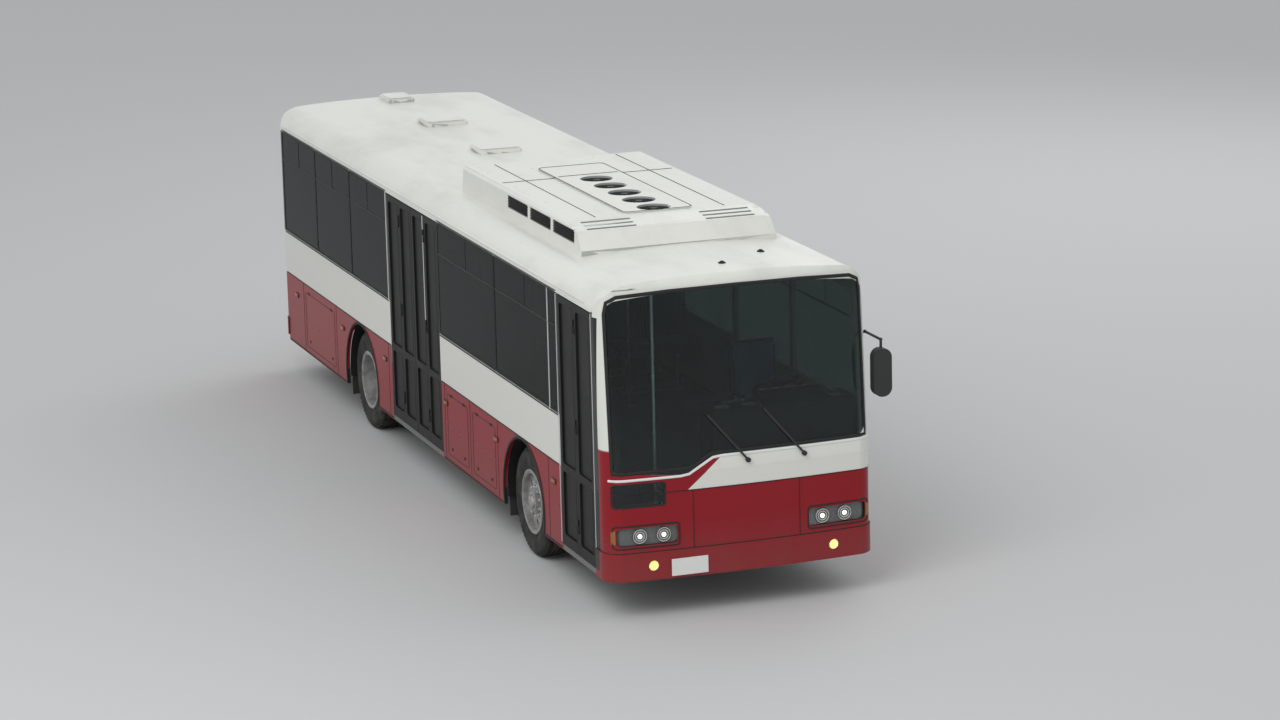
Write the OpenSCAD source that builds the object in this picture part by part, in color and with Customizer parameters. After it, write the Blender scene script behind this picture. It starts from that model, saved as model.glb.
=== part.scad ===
// Airport passenger bus: single-deck coachwork on a rail chassis with the engine behind.
// X forward, Y to the left, Z up, millimetres. The origin is on the ground under the middle.

/* [Body] */
// Overall length over the front and rear panels
body_l = 10900; // [10500:50:11300]
// Overall width over the side walls
body_w = 2490; // [2400:10:2550]
// Height of the roof's crown above the ground
roof_z = 2980; // [2900:10:3100]
// Height of the lower edge of the skirts
skirt_z = 350; // [330:5:360]
// Top of the red lower body, where the cream belt starts
belt_z = 1120; // [1115:5:1160]
// Sill of the side windows
sill_z = 1600; // [1500:10:1700]
// Top of the side windows and of the doorways
header_z = 2690; // [2650:5:2700]
// Thickness of the walls and of the roof
wall_t = 45; // [40:1:60]
// Radius of the cant rail between wall and roof
cant_r = 270; // [240:5:300]
// Radius of the roof's crown across the bus
crown_r = 11000; // [9000:100:14000]
// Radius of the front corners in plan
front_r = 180; // [160:5:200]
// Radius of the rear corners in plan
rear_r = 140; // [120:5:160]
// Radius of the front's bow in plan
bow_r = 12600; // [10000:100:16000]
// Height at which the front starts to lean back
rake_z = 1270; // [1250:5:1300]
// Lean of the windscreen from upright, degrees
rake_a = 4.6; // [4:0.1:5.5]
// How far the leaning front stands inside the lower front where they meet
ledge = 3; // [2:0.5:5]
// Radius of the roof's front lip
lip_r = 100; // [80:5:150]
// Radius of the roof's rear edge
tail_r = 220; // [180:5:260]

/* [Windscreen] */
// Lower edge of the windscreen on the driver's side
screen_z = 1425; // [1410:5:1440]
// Lower edge of the windscreen on the door side
screen_low_z = 1310; // [1300:5:1320]
// Top edge of the windscreen
screen_top_z = 2865; // [2840:5:2870]
// Distance of the windscreen's side edges from the middle
screen_y = 1180; // [1170:5:1185]
// Where the windscreen's lower edge has stepped down, right of the middle
screen_step_y = 500; // [480:10:520]
// Lower edge of the kerb window in the front
kerb_z = 1010; // [1000:5:1030]
// Thickness of all the glass
glass_t = 6; // [4:1:8]

/* [Doorways] */
// Distance of the front doorway from the front end
front_door_setback = 370; // [360:5:390]
// Width of the front doorway
front_door_w = 920; // [880:5:930]
// Distance of the middle doorway from the front end
mid_door_setback = 4930; // [4890:5:4970]
// Width of the middle doorway
mid_door_w = 1720; // [1640:5:1760]
// Thickness of a door leaf
leaf_t = 40; // [34:1:44]
// Width of a door leaf's frame round its glass
leaf_frame = 55; // [45:1:70]
// Gap between a leaf and its jamb, sill or neighbour
leaf_gap = 10; // [8:1:12]
// Distance of a jamb's pivot from its leaf's edge
pivot_in = 42; // [38:1:44]
// How far the pin between two leaves stands proud of their outer face
hinge_proud = 6; // [6:0.5:8]

/* [Floor] */
// Height of the cabin floor
floor_z = 950; // [930:5:980]
// Height of the raised floor over the engine
rear_floor_z = 1290; // [1260:5:1320]
// Length of the raised floor from the rear end
rear_floor_l = 1600; // [1550:10:1650]
// Thickness of the floor
floor_t = 40; // [30:1:45]
// Height of the first step
step_z = 400; // [395:1:405]
// Depth of the first step from the wall's inside
step_depth = 500; // [490:5:510]

/* [Running gear] */
// Distance between the axles
wheelbase = 5400; // [5300:50:5500]
// Distance of the front axle from the front end
front_overhang = 2400; // [2350:10:2450]
// Radius of the tyres
tyre_r = 510; // [490:5:520]
// Width of a tyre
tyre_w = 275; // [250:5:285]
// Radius of the rims
rim_r = 285; // [280:5:300]
// Distance of the outer tyres' middle from the bus's middle
tyre_y = 1040; // [1020:5:1050]
// Distance between the middles of twin tyres
twin_pitch = 320; // [310:5:330]
// Radius of the wheel arches
arch_r = 600; // [590:5:605]
// Lower edge of the chassis rails
rail_z = 680; // [670:5:690]
// Height of the chassis rails
rail_h = 180; // [160:5:185]
// Distance of the rails' middle from the bus's middle
rail_y = 430; // [420:5:435]

/* [Roof unit] */
// Distance of the roof's cooling unit from the front end
pod_setback = 1500; // [1400:10:1600]
// Length of the cooling unit
pod_l = 3550; // [3400:10:3650]
// Half of the cooling unit's width
pod_y = 930; // [900:10:960]
// Top of the cooling unit
pod_z = 3200; // [3180:5:3240]
// Diameter of a fan opening
fan_d = 310; // [280:5:330]
// Distance between the fan openings
fan_pitch = 395; // [380:5:400]

/* [Hidden] */
// Clearance between pieces that seat on one another
fit = 0.3;
// Clearance round a piece that is set into a panel
seam = 5;
hl = body_l / 2;
hw = body_w / 2;
// Inside half-width of the cabin
in_y = hw - wall_t;
// Stations of the doorways, axles, raised floor and cooling unit along the bus
front_door_x1 = hl - front_door_setback;
front_door_x0 = front_door_x1 - front_door_w;
mid_door_x1 = hl - mid_door_setback;
mid_door_x0 = mid_door_x1 - mid_door_w;
front_axle_x = hl - front_overhang;
rear_floor_x = -hl + rear_floor_l;
pod_x1 = hl - pod_setback;
pod_x0 = pod_x1 - pod_l;
// Panels of the coachwork meet at these stations along the bus
front_split = front_door_x1 + leaf_gap;
rear_split = -hl + rear_r + 10;
// The front panel's upper edge, above the windscreen
mask_z = screen_top_z + 30;
rear_axle_x = front_axle_x - wheelbase;
window_h = header_z - sill_z;
$fn = 48;

// Half-width of the plan outlines, a touch wider than the section that trims them
plan_y = hw + 0.4;
// How far the front's round corners start outside the bow that trims them
corner_out = 1.5;

// Convex end of an outline: width 2*half, a crown of radius cr at the top, corners of radius r
module crowned(half, top, cr, r) {
    corner_y = half - r;
    corner_z = top - cr + sqrt(pow(cr - r, 2) - pow(corner_y, 2));
    reach = 1.2;
    translate([-half, -1]) square([2 * half, corner_z + 1]);
    for (s = [-1, 1]) translate([s * corner_y, corner_z]) circle(r = r, $fn = 64);
    intersection() {
        translate([0, top - cr]) circle(r = cr, $fn = 720);
        polygon([[0, top - cr],
                 [reach * corner_y, top - cr + reach * (corner_z - top + cr)],
                 [-reach * corner_y, top - cr + reach * (corner_z - top + cr)]]);
        translate([-half, 0]) square([2 * half, top + 1]);
    }
}

// Section of the coachwork across the bus, moved inward by off
module section_prism(off) {
    rotate([90, 0, 90]) linear_extrude(height = 2 * hl + 400, center = true)
        crowned(hw - off, roof_z - off, crown_r - off, cant_r - off);
}

// Station of the bowed front at a distance y from the middle, below the lean
function front_x(y) = hl - bow_r + sqrt(pow(bow_r, 2) - pow(y, 2));

// Station of the leaning front at a distance y from the middle and a height z
function screen_x(y, z) = front_x(y) - ledge - (z - rake_z) * tan(rake_a);

// Plan of the front half, moved inward by off: straight sides, round corners, bow left to the drum
module front_plan(off) {
    sag = bow_r - sqrt(pow(bow_r, 2) - pow(plan_y - front_r, 2));
    corner_x = hl - sag - front_r + corner_out;
    translate([0, -plan_y + off]) square([corner_x, 2 * (plan_y - off)]);
    for (s = [-1, 1]) translate([corner_x, s * (plan_y - front_r)]) circle(r = front_r - off, $fn = 64);
    translate([0, -plan_y + front_r]) square([hl + 50, 2 * (plan_y - front_r)]);
}

// Front of the coach below the lean: upright, bowed in plan, with round corners
module front_lower(off) {
    intersection() {
        section_prism(off);
        linear_extrude(height = rake_z) front_plan(off);
        translate([hl - bow_r, 0, 0]) cylinder(r = bow_r - off, h = rake_z, $fn = 720);
    }
}

// Takes its children to the leaning frame of the windscreen
module leaning() { translate([hl - ledge, 0, rake_z]) rotate([0, -rake_a, 0]) children(); }

// Front of the coach above: leaning back, bowed, with round corners and a round lip to the roof
module front_upper(off) {
    intersection() {
        intersection() {
            section_prism(off);
            translate([0, -hw - 10, rake_z]) cube([hl + 100, body_w + 20, roof_z]);
            leaning() translate([-bow_r, 0, 0]) rotate_extrude($fn = 360) lip_profile(off);
        }
        leaning() translate([-hl, 0, -600]) linear_extrude(height = 3000) front_plan(off);
    }
}

// Half profile of the leaning drum that bows the windscreen and rounds the roof's lip.
// Its top rises by the lean towards the axis, so that it is level along the coach.
module lip_profile(off) {
    lip_top = (roof_z + 4 - rake_z) / cos(rake_a);
    centre = [bow_r - lip_r, lip_top - lip_r * (1 - sin(rake_a)) / cos(rake_a)];
    up = [sin(rake_a), cos(rake_a)];
    back = [-cos(rake_a), sin(rake_a)];
    roof_start = centre + (lip_r - off) * up;
    roof_end = roof_start + (hl + 400) * back;
    polygon([[roof_end[0], -600], [bow_r - off, -600], [bow_r - off, centre[1]],
             centre, roof_start, roof_end]);
    translate(centre) circle(r = lip_r - off, $fn = 64);
}

// Rear half of the envelope: round corners in plan and a round edge to the roof
module rear_envelope(off) {
    intersection() {
        linear_extrude(height = roof_z + 20) {
            translate([-hl + off, -plan_y + rear_r]) square([hl, 2 * (plan_y - rear_r)]);
            translate([-hl + rear_r, -plan_y + off]) square([hl - rear_r, 2 * (plan_y - off)]);
            for (s = [-1, 1]) translate([-hl + rear_r, s * (plan_y - rear_r)])
                circle(r = rear_r - off, $fn = 64);
        }
        rotate([90, 0, 0]) linear_extrude(height = body_w + 40, center = true) {
            translate([-hl + tail_r, 0]) square([hl, roof_z + 4 - off]);
            translate([-hl + off, 0]) square([hl, roof_z + 4 - tail_r]);
            translate([-hl + tail_r, roof_z + 4 - tail_r]) circle(r = tail_r - off, $fn = 64);
        }
    }
}

// Outer form of the whole coach, moved inward by off
module envelope(off) {
    front_lower(off);
    front_upper(off);
    intersection() {
        section_prism(off);
        rear_envelope(off);
    }
}

// Box between two stations, the full width of the coach
module zone(x0, x1, z0, z1) {
    translate([x0, -hw - 50, z0]) cube([x1 - x0, body_w + 100, z1 - z0]);
}

// Prism along X or Y whose outline is a rectangle with round corners
module round_rect(w, h, r) {
    translate([r, 0]) square([w - 2 * r, h]);
    translate([0, r]) square([w, h - 2 * r]);
    for (x = [r, w - r], y = [r, h - r]) translate([x, y]) circle(r = r, $fn = 32);
}

// Side windows: rear and front edge of each pane along the bus, right side then left side
pane_gap = 6;
pillar = 70;
mid_pane_x0 = mid_door_x1 + leaf_gap + pillar;
mid_pane_w = (front_door_x0 - mid_door_x1 - pillar) / 2;
rear_pane_w = (mid_door_x0 - rear_split - pillar) / 3;
left_pane_w = (front_split - rear_split - pillar) / 7;
function row_of_panes(x0, w, n) = [for (i = [0 : n - 1]) [x0 + i * w, x0 + (i + 1) * w]];
RIGHT_REAR_PANES = row_of_panes(rear_split + pillar / 2, rear_pane_w, 3);
RIGHT_MID_PANES = row_of_panes(mid_door_x1 + pillar / 2, mid_pane_w, 2);
LEFT_PANES = row_of_panes(rear_split + pillar / 2, left_pane_w, 7);

// Wall plate on the right side between two stations, with a rebate and openings for its panes
module wall_plate(x0, x1, panes) {
    rebate = glass_t + fit;
    difference() {
        translate([x0, -hw, belt_z + fit]) cube([x1 - x0, wall_t, header_z - belt_z - fit]);
        for (p = panes) translate([p[0], -hw, sill_z]) {
            translate([0, rebate, 0]) rotate([90, 0, 0]) linear_extrude(height = rebate + 1)
                round_rect(p[1] - p[0], window_h - seam, 40);
            translate([pillar / 2, wall_t + 1, pillar / 2]) rotate([90, 0, 0])
                linear_extrude(height = wall_t + 2)
                    round_rect(p[1] - p[0] - pillar, window_h - pillar - seam, 60);
        }
    }
}

// Panes of glass on the right side
module panes_of(panes) {
    for (p = panes) translate([p[0] + pane_gap / 2, -hw + glass_t, sill_z + pane_gap / 2])
        rotate([90, 0, 0]) linear_extrude(height = glass_t)
            round_rect(p[1] - p[0] - pane_gap, window_h - seam - pane_gap, 38);
}

// Takes the shape of its child across to the left side
module to_left() { mirror([0, 1, 0]) children(); }

module wall_right() {
    color("ivory") {
        wall_plate(rear_split + fit, mid_door_x0, RIGHT_REAR_PANES);
        wall_plate(mid_door_x1, front_door_x0, RIGHT_MID_PANES);
    }
}

module wall_left() {
    color("ivory") to_left() wall_plate(rear_split + fit, front_split - fit, LEFT_PANES);
}

module side_windows_right() {
    color([0.1, 0.13, 0.14, 0.8]) {
        panes_of(RIGHT_REAR_PANES);
        panes_of(RIGHT_MID_PANES);
    }
}

module side_windows_left() {
    color([0.1, 0.13, 0.14, 0.8]) to_left() panes_of(LEFT_PANES);
}

// Skirt on the right side between two stations, open over the wheels
module skirt_plate(x0, x1) {
    skirt_t = 35;
    difference() {
        translate([x0, -hw, skirt_z]) cube([x1 - x0, skirt_t, belt_z - skirt_z]);
        for (x = [front_axle_x, rear_axle_x])
            translate([x, -hw + skirt_t + 1, tyre_r]) rotate([90, 0, 0])
                cylinder(r = arch_r, h = skirt_t + 2, $fn = 96);
        for (x = [front_axle_x, rear_axle_x])
            translate([x - arch_r, -hw - 1, skirt_z - 1]) cube([2 * arch_r, skirt_t + 2, tyre_r - skirt_z + 1]);
    }
}

module skirts_right() {
    color("firebrick") {
        skirt_plate(rear_split + fit, mid_door_x0);
        skirt_plate(mid_door_x1, front_door_x0);
    }
}

module skirts_left() {
    color("firebrick") to_left() skirt_plate(rear_split + fit, front_split - fit);
}

// Outline of the windscreen seen from the front, grown by g all round
screen_r = 110;
step_fall = 60;
step_a = 29;
module screen_outline(g) {
    low_r = 70 + g;
    side = screen_y + g;
    low_y = -screen_step_y + g * tan(step_a / 2);
    low_z = screen_low_z - step_fall - g;
    reach = 500;
    intersection() {
        crowned(side, screen_top_z + g, crown_r + g, screen_r + g);
        union() {
            translate([-side, screen_z - g]) round_rect(2 * side, screen_top_z, screen_r + g);
            polygon([[-side, screen_z + reach], [-side, low_z + step_fall + low_r],
                     [-side + low_r, low_z + step_fall], [low_y, low_z],
                     [low_y + reach * cos(step_a), low_z + reach * sin(step_a)]]);
            translate([-side + low_r, low_z + step_fall + low_r]) circle(r = low_r, $fn = 48);
        }
    }
}

// Outline of the kerb window in the front panel, grown by g all round
kerb_top_z = 1215;
kerb_y = 720;
module kerb_outline(g) {
    translate([-screen_y - g, kerb_z - g])
        round_rect(screen_y - kerb_y + 2 * g, kerb_top_z - kerb_z + 2 * g, 40 + g);
}

// Carries an outline seen from the front along the bus through the front panel
module through_front() {
    translate([front_split - 200, 0, 0]) rotate([90, 0, 90]) linear_extrude(height = 800) children();
}

// Outline of a headlamp recess on the left, grown by g all round
lamp_y0 = 610;
lamp_y1 = 1160;
lamp_z0 = 665;
lamp_z1 = 825;
module lamp_outline(g) {
    translate([lamp_y0 - g, lamp_z0 - g])
        round_rect(lamp_y1 - lamp_y0 + 2 * g, lamp_z1 - lamp_z0 + 2 * g, 35 + g);
}

bumper_z = 600;
module front_panel() {
    color("ivory") difference() {
        intersection() {
            envelope(0);
            zone(front_split, hl + 50, bumper_z + fit, mask_z);
        }
        intersection() {
            envelope(wall_t);
            zone(front_split - 50, hl + 50, bumper_z - 50, mask_z + 50);
        }
        through_front() screen_outline(0);
        through_front() kerb_outline(0);
        for (s = [0, 1]) mirror([0, s, 0]) through_front() lamp_outline(0);
    }
}

// Slice of the front's skin between two depths that fills an outline
module front_skin(depth, thick) {
    intersection() {
        difference() {
            envelope(depth);
            envelope(depth + thick);
        }
        through_front() children();
    }
}

module windscreen() {
    color([0.1, 0.13, 0.14, 0.7]) {
        front_skin(4, glass_t) screen_outline(-fit);
        front_skin(4, glass_t) kerb_outline(-fit);
    }
}

module rear_panel() {
    color("ivory") lid_barrels(1);
    color("ivory") difference() {
        intersection() {
            envelope(0);
            zone(-hl - 50, rear_split, bumper_z + fit, header_z);
        }
        intersection() {
            envelope(wall_t);
            zone(-hl - 50, rear_split + 50, bumper_z - 50, header_z + 50);
        }
        translate([-hl - 60, 0, 0]) rotate([90, 0, 90]) linear_extrude(height = 200)
            rear_window_outline(0);
        translate([-hl - 60, -engine_door_y, engine_door_z0]) cube([200, 2 * engine_door_y, engine_door_z1 - engine_door_z0]);
    }
}

// Outline of the rear window seen from behind, grown by g all round
module rear_window_outline(g) {
    translate([-rear_window_y - g, sill_z + 80 - g])
        round_rect(2 * (rear_window_y + g), header_z - 160 - sill_z + 2 * g, 90 + g);
}
rear_window_y = hw - 300;
engine_door_y = 900;
engine_door_z0 = 680;
engine_door_z1 = 1480;

module rear_window() {
    color([0.1, 0.13, 0.14, 0.8]) translate([-hl + 4, 0, 0]) rotate([90, 0, 90])
        linear_extrude(height = glass_t) rear_window_outline(-fit);
}

module roof() {
    color("ivory") difference() {
        intersection() {
            envelope(0);
            zone(-hl - 50, hl + 50, header_z + fit, roof_z + 50);
        }
        intersection() {
            envelope(wall_t);
            zone(-hl - 50, hl + 50, header_z - 50, roof_z + 50);
        }
        zone(front_split - fit, hl + 50, header_z - 50, mask_z + fit);
    }
}

// Closed lid over the engine at the back, hinged along its top edge
lid_pin_r = 5;
lid_pin_x = -hl - lid_pin_r - 1;
lid_pin_z = engine_door_z1 - 2;
LID_BARRELS = [-600, 0, 600];

// Barrels of the lid's hinge with their flanges; way is +1 on the panel above, -1 on the lid
module lid_barrels(way) {
    for (y = LID_BARRELS) translate([lid_pin_x, y + (way > 0 ? -30 : fit), lid_pin_z]) {
        rotate([-90, 0, 0]) cylinder(r = lid_pin_r, h = 30, $fn = 32);
        translate([0, 0, way > 0 ? 0 : -20]) cube([-hl + 1 - lid_pin_x, 30, 20]);
    }
}
module engine_door() {
    w = 2 * (engine_door_y - seam);
    h = engine_door_z1 - engine_door_z0 - 2 * seam;
    color("firebrick") lid_barrels(-1);
    color("firebrick") difference() {
        translate([-hl, -w / 2, engine_door_z0 + seam]) cube([wall_t - 15, w, h]);
        translate([-hl + 12, -w / 2 + 60, engine_door_z0 + seam + 60]) cube([wall_t, w - 120, h - 120]);
        for (i = [0 : 6], s = [-1, 1])
            translate([-hl - 1, s * w / 4 - 300, engine_door_z0 + 170 + i * 80])
                rotate([0, 35, 0]) cube([60, 600, 22]);
    }
}

// Chassis: two channel rails with hangers for the springs, jacking pads and a tongue for the tow pin
rail_t = 80;
rail_web = 9;
rail_flange = 10;
beam_h = floor_z - floor_t - rail_z - rail_h;
rail_x0 = -hl + 260;
rail_x1 = hl - 180;
spring_half = 700;
spring_r = 5000;
spring_w = 70;
spring_rise = spring_r - sqrt(pow(spring_r, 2) - pow(spring_half, 2));
axle_top = tyre_r + 66;
leaf_z = axle_top + 28;
beam_w = 50;
jack_pad_l = 160;
jack_pad_t = 8;
tongue_reach = 100;
tongue_t = 16;
tow_r = 18;
web_y = rail_y + rail_t / 2 - rail_web;
rail_edge = rail_y + rail_t / 2;
JACK_X = [front_axle_x - 1000, rear_axle_x - 1200];
beam_pitch = 860;
BEAM_X = [for (i = [-12 : 4]) let (x = front_axle_x - 440 + i * beam_pitch)
              if (x > rail_x0 + beam_w && x < rail_x1 - beam_w) x];
function clear_of_doors(x) = (x < mid_door_x0 - 120 || x > mid_door_x1 + 60) && x < front_door_x0 - 120;
module chassis_frame() {
    color("dimgray") for (s = [0, 1]) mirror([0, s, 0]) difference() {
        union() {
            difference() {
                translate([rail_x0, rail_y - rail_t / 2, rail_z]) cube([rail_x1 - rail_x0, rail_t, rail_h]);
                translate([rail_x0 - 1, rail_y - rail_t / 2 - 1, rail_z + rail_flange])
                    cube([rail_x1 - rail_x0 + 2, rail_t - rail_web + 1, rail_h - 2 * rail_flange]);
            }
            for (a = [front_axle_x, rear_axle_x], e = [-1, 1])
                translate([a + e * spring_half - 30, rail_y - spring_w / 2, leaf_z + spring_rise + 20])
                    cube([60, spring_w, rail_z - leaf_z - spring_rise - 19]);
            for (x = JACK_X) translate([x - jack_pad_l / 2, rail_y - rail_t / 2, rail_z - jack_pad_t])
                cube([jack_pad_l, rail_t, jack_pad_t + 1]);
            translate([rail_x1 - 60, rail_y - rail_t / 2, rail_z]) cube([60 + tongue_reach, rail_t, tongue_t]);
        }
        translate([rail_x1 + tongue_reach / 2, rail_y, rail_z - 1]) cylinder(r = tow_r, h = tongue_t + 2, $fn = 48);
    }
}

// Cross members that carry the floor: over the rails, and out to the walls clear of wheels and doors
module cross_beams() {
    color("dimgray") {
        for (x = BEAM_X) {
            clear_of_wheels = min(abs(x - front_axle_x), abs(x - rear_axle_x)) > arch_r + 100;
            left = clear_of_wheels ? in_y - fit : rail_edge;
            right = clear_of_wheels && clear_of_doors(x) ? in_y - fit : rail_edge;
            over_engine = x < rear_floor_x - 60;
            for (span = over_engine ? [[-right, -rail_edge + rail_t], [rail_edge - rail_t, left]] : [[-right, left]])
                translate([x, span[0], rail_z + rail_h + fit]) cube([beam_w, span[1] - span[0], beam_h - 2 * fit]);
        }
        translate([rail_x0, -web_y + fit, rail_z + rail_flange + fit])
            cube([beam_w, 2 * (web_y - fit), rail_h - 2 * (rail_flange + fit)]);
    }
}

// Floor with boxes over the wheels and stepped wells at the doorways
box_y = 560;
box_z = 2 * tyre_r + 90;
box_half = 640;
riser_y = rail_edge + 20;
well_t = 30;
tread_y = in_y - step_depth;
mid_step_z = (step_z + floor_z) / 2;
// The floor is laid in flat plates with a narrow joint between them: x0, x1, right edge, left edge
function deck_plates(x0, x1) = [
    [x0, engine_x1 + 460, -in_y, -engine_y - 30],
    [x0, engine_x1 + 460, engine_y + 30, in_y],
    [engine_x1 + 460, rear_axle_x - box_half, -in_y, in_y],
    [rear_axle_x - box_half, rear_axle_x + box_half, -box_y, box_y],
    [rear_axle_x + box_half, mid_door_x0, -in_y, in_y],
    [mid_door_x0, mid_door_x1, -riser_y, in_y],
    [mid_door_x1, front_axle_x - box_half, -in_y, in_y],
    [front_axle_x - box_half, front_axle_x + box_half, -box_y, box_y],
    [front_axle_x + box_half, front_door_x0, -in_y, in_y],
    [front_door_x0, front_split, -riser_y, in_y],
    [front_split, x1, -in_y + 130, in_y - 130]
];
module plate_box(x0, x1, y0, y1, z0, z1) {
    translate([x0 + fit / 2, y0 + fit / 2, z0 + fit / 2]) cube([x1 - x0 - fit, y1 - y0 - fit, z1 - z0 - fit]);
}
module floor_deck() {
    deck_x0 = rear_split + 20;
    deck_x1 = hl - 130;
    color("slategray") {
        for (p = deck_plates(deck_x0, deck_x1))
            plate_box(p[0], p[1], p[2], p[3], floor_z - floor_t, floor_z);
        for (a = [front_axle_x, rear_axle_x], s = [0, 1]) mirror([0, s, 0]) wheel_box(a);
        door_well(mid_door_x0, mid_door_x1);
        door_well(front_door_x0, front_split);
        rear_platform(deck_x0);
    }
}

// Box of four plates that closes the floor over one wheel
module wheel_box(a) {
    for (x = [a - box_half - well_t, a + box_half])
        plate_box(x, x + well_t, box_y - well_t, in_y, floor_z, box_z);
    plate_box(a - box_half, a + box_half, box_y - well_t, box_y, floor_z, box_z);
    plate_box(a - box_half - well_t, a + box_half + well_t, box_y - well_t, in_y, box_z, box_z + well_t);
}

// Two steps down from the floor to a doorway on the right, between side plates
module door_well(x0, x1) {
    low_z = step_z - 50;
    top_z = floor_z - floor_t;
    plate_box(x0, x1, -hw + 2, -tread_y, low_z, step_z);
    plate_box(x0, x1, -tread_y, -tread_y + well_t, low_z, mid_step_z - well_t);
    plate_box(x0, x1, -tread_y, -riser_y, mid_step_z - well_t, mid_step_z);
    plate_box(x0, x1, -riser_y - well_t, -riser_y, mid_step_z, floor_z);
    for (x = [x0 - well_t, x1]) {
        plate_box(x, x + well_t, -in_y, -tread_y + well_t, low_z, top_z);
        plate_box(x, x + well_t, -tread_y + well_t, -riser_y, mid_step_z - well_t, top_z);
    }
}

// Raised floor over the engine, with its riser
module rear_platform(x0) {
    plate_box(x0, rear_floor_x, -in_y, in_y, rear_floor_z - floor_t, rear_floor_z);
    plate_box(rear_floor_x - well_t, rear_floor_x, -in_y, in_y, floor_z, rear_floor_z - floor_t);
}

// Engine and gearbox as one block between the rails, standing on four feet
engine_x0 = -hl + 330;
engine_x1 = engine_x0 + 820;
engine_y = 360;
engine_z0 = 430;
engine_z1 = 1200;
shaft_z = tyre_r + 20;
module engine() {
    color("gray") {
        translate([engine_x0, -engine_y, engine_z0]) cube([engine_x1 - engine_x0, 2 * engine_y, engine_z1 - engine_z0]);
        translate([engine_x1 - 1, 0, shaft_z]) rotate([0, 90, 0]) cylinder(r = 170, h = 421, $fn = 48);
        for (x = [engine_x0 + 80, engine_x1 - 160], s = [0, 1]) mirror([0, s, 0])
            translate([x, engine_y - 1, rail_z + rail_flange + fit]) cube([80, web_y - fit - engine_y + 1, 60]);
    }
}

// Fuel tank on the left and two air tanks on the right, hung under the floor's beams
module tanks() {
    tank_x = front_axle_x - 4150;
    air_x0 = front_axle_x - 2170;
    color("silver") {
        translate([tank_x, in_y - 40, rail_z + rail_h - fit]) rotate([90, 90, 0])
            linear_extrude(height = 560) round_rect(420, 1150, 70);
        for (y = [640, 930]) translate([air_x0, -y, rail_z + rail_h - fit - 130]) rotate([0, 90, 0])
            cylinder(r = 130, h = 930, $fn = 48);
    }
}

// Shaft from the gearbox to the rear axle with a joint's flange at each end
module propshaft() {
    x0 = engine_x1 + 420 + fit;
    x1 = rear_axle_x - bowl_r - fit;
    color("dimgray") translate([x0, 0, shaft_z]) rotate([0, 90, 0]) {
        cylinder(r = 48, h = x1 - x0, $fn = 48);
        for (z = [0, x1 - x0 - 40]) translate([0, 0, z]) cylinder(r = 80, h = 40, $fn = 48);
    }
}

// Pack of leaf springs along a rail: a long leaf, a short stack and the clamp plate on the axle
module spring_pack(a) {
    translate([a, rail_y + spring_w / 2, leaf_z + spring_r]) rotate([90, 0, 0])
        linear_extrude(height = spring_w) {
            leaf_arc(spring_r, 20, spring_half);
            leaf_arc(spring_r + 19, 16, spring_half * 0.7);
        }
    translate([a - 90, rail_y - spring_w / 2 - 10, axle_top + fit]) cube([180, spring_w + 20, leaf_z - axle_top - 10]);
    for (e = [-1, 1]) translate([a + e * spring_half, rail_y - spring_w / 2, leaf_z + spring_rise])
        rotate([-90, 0, 0]) cylinder(r = 20 - fit, h = spring_w, $fn = 32);
}

// Arc of one leaf below its centre of curvature
module leaf_arc(r, t, half) {
    intersection() {
        difference() {
            circle(r = r + t / 2, $fn = 180);
            circle(r = r - t / 2, $fn = 180);
        }
        translate([-half, -r - 50]) square([2 * half, r]);
    }
}

module springs() {
    color("black") for (a = [front_axle_x, rear_axle_x], s = [0, 1]) mirror([0, s, 0]) spring_pack(a);
}

// Front axle: a dropped beam with spring pads and kingpins leaning nowhere, so steering is upright
kingpin_y = tyre_y - 95;
kingpin_r = 24;
beam_eye_h = 90;
module front_axle() {
    eye_r = 45;
    color("dimgray") translate([front_axle_x, 0, 0]) {
        translate([-45, -600, tyre_r - 110]) cube([90, 1200, 110]);
        for (s = [0, 1]) mirror([0, s, 0]) {
            translate([-90, rail_y - 60, tyre_r - 50]) cube([180, 120, axle_top - tyre_r + 50]);
            difference() {
                union() {
                    translate([-45, 560, tyre_r - beam_eye_h / 2 - 20]) cube([90, kingpin_y - 560, beam_eye_h]);
                    translate([0, kingpin_y, tyre_r - beam_eye_h / 2 - 20]) cylinder(r = eye_r, h = beam_eye_h, $fn = 48);
                }
                translate([0, kingpin_y, tyre_r - 200]) cylinder(r = kingpin_r + 0.1, h = 400, $fn = 48);
            }
        }
    }
}

// Steering knuckle on the left: fork round the axle's eye, kingpin and stub axle
stub_r = 38;
module knuckle() {
    z0 = tyre_r - beam_eye_h / 2 - 20;
    fork_r = 42;
    translate([front_axle_x, kingpin_y, 0]) {
        translate([0, 0, z0 - 36]) cylinder(r = kingpin_r, h = beam_eye_h + 72, $fn = 48);
        for (z = [z0 - 41, z0 + beam_eye_h + 5]) translate([0, 0, z]) {
            cylinder(r = fork_r, h = 36, $fn = 48);
            translate([-32, 0, 0]) cube([64, 62, 36]);
        }
        translate([-40, 50, z0 - 41]) cube([80, 18, beam_eye_h + 82]);
        translate([0, 60, tyre_r]) rotate([-90, 0, 0]) cylinder(r = stub_r, h = 138, $fn = 48);
    }
}
module knuckle_left() { color("dimgray") knuckle(); }
module knuckle_right() { color("dimgray") mirror([0, 1, 0]) knuckle(); }

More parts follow.
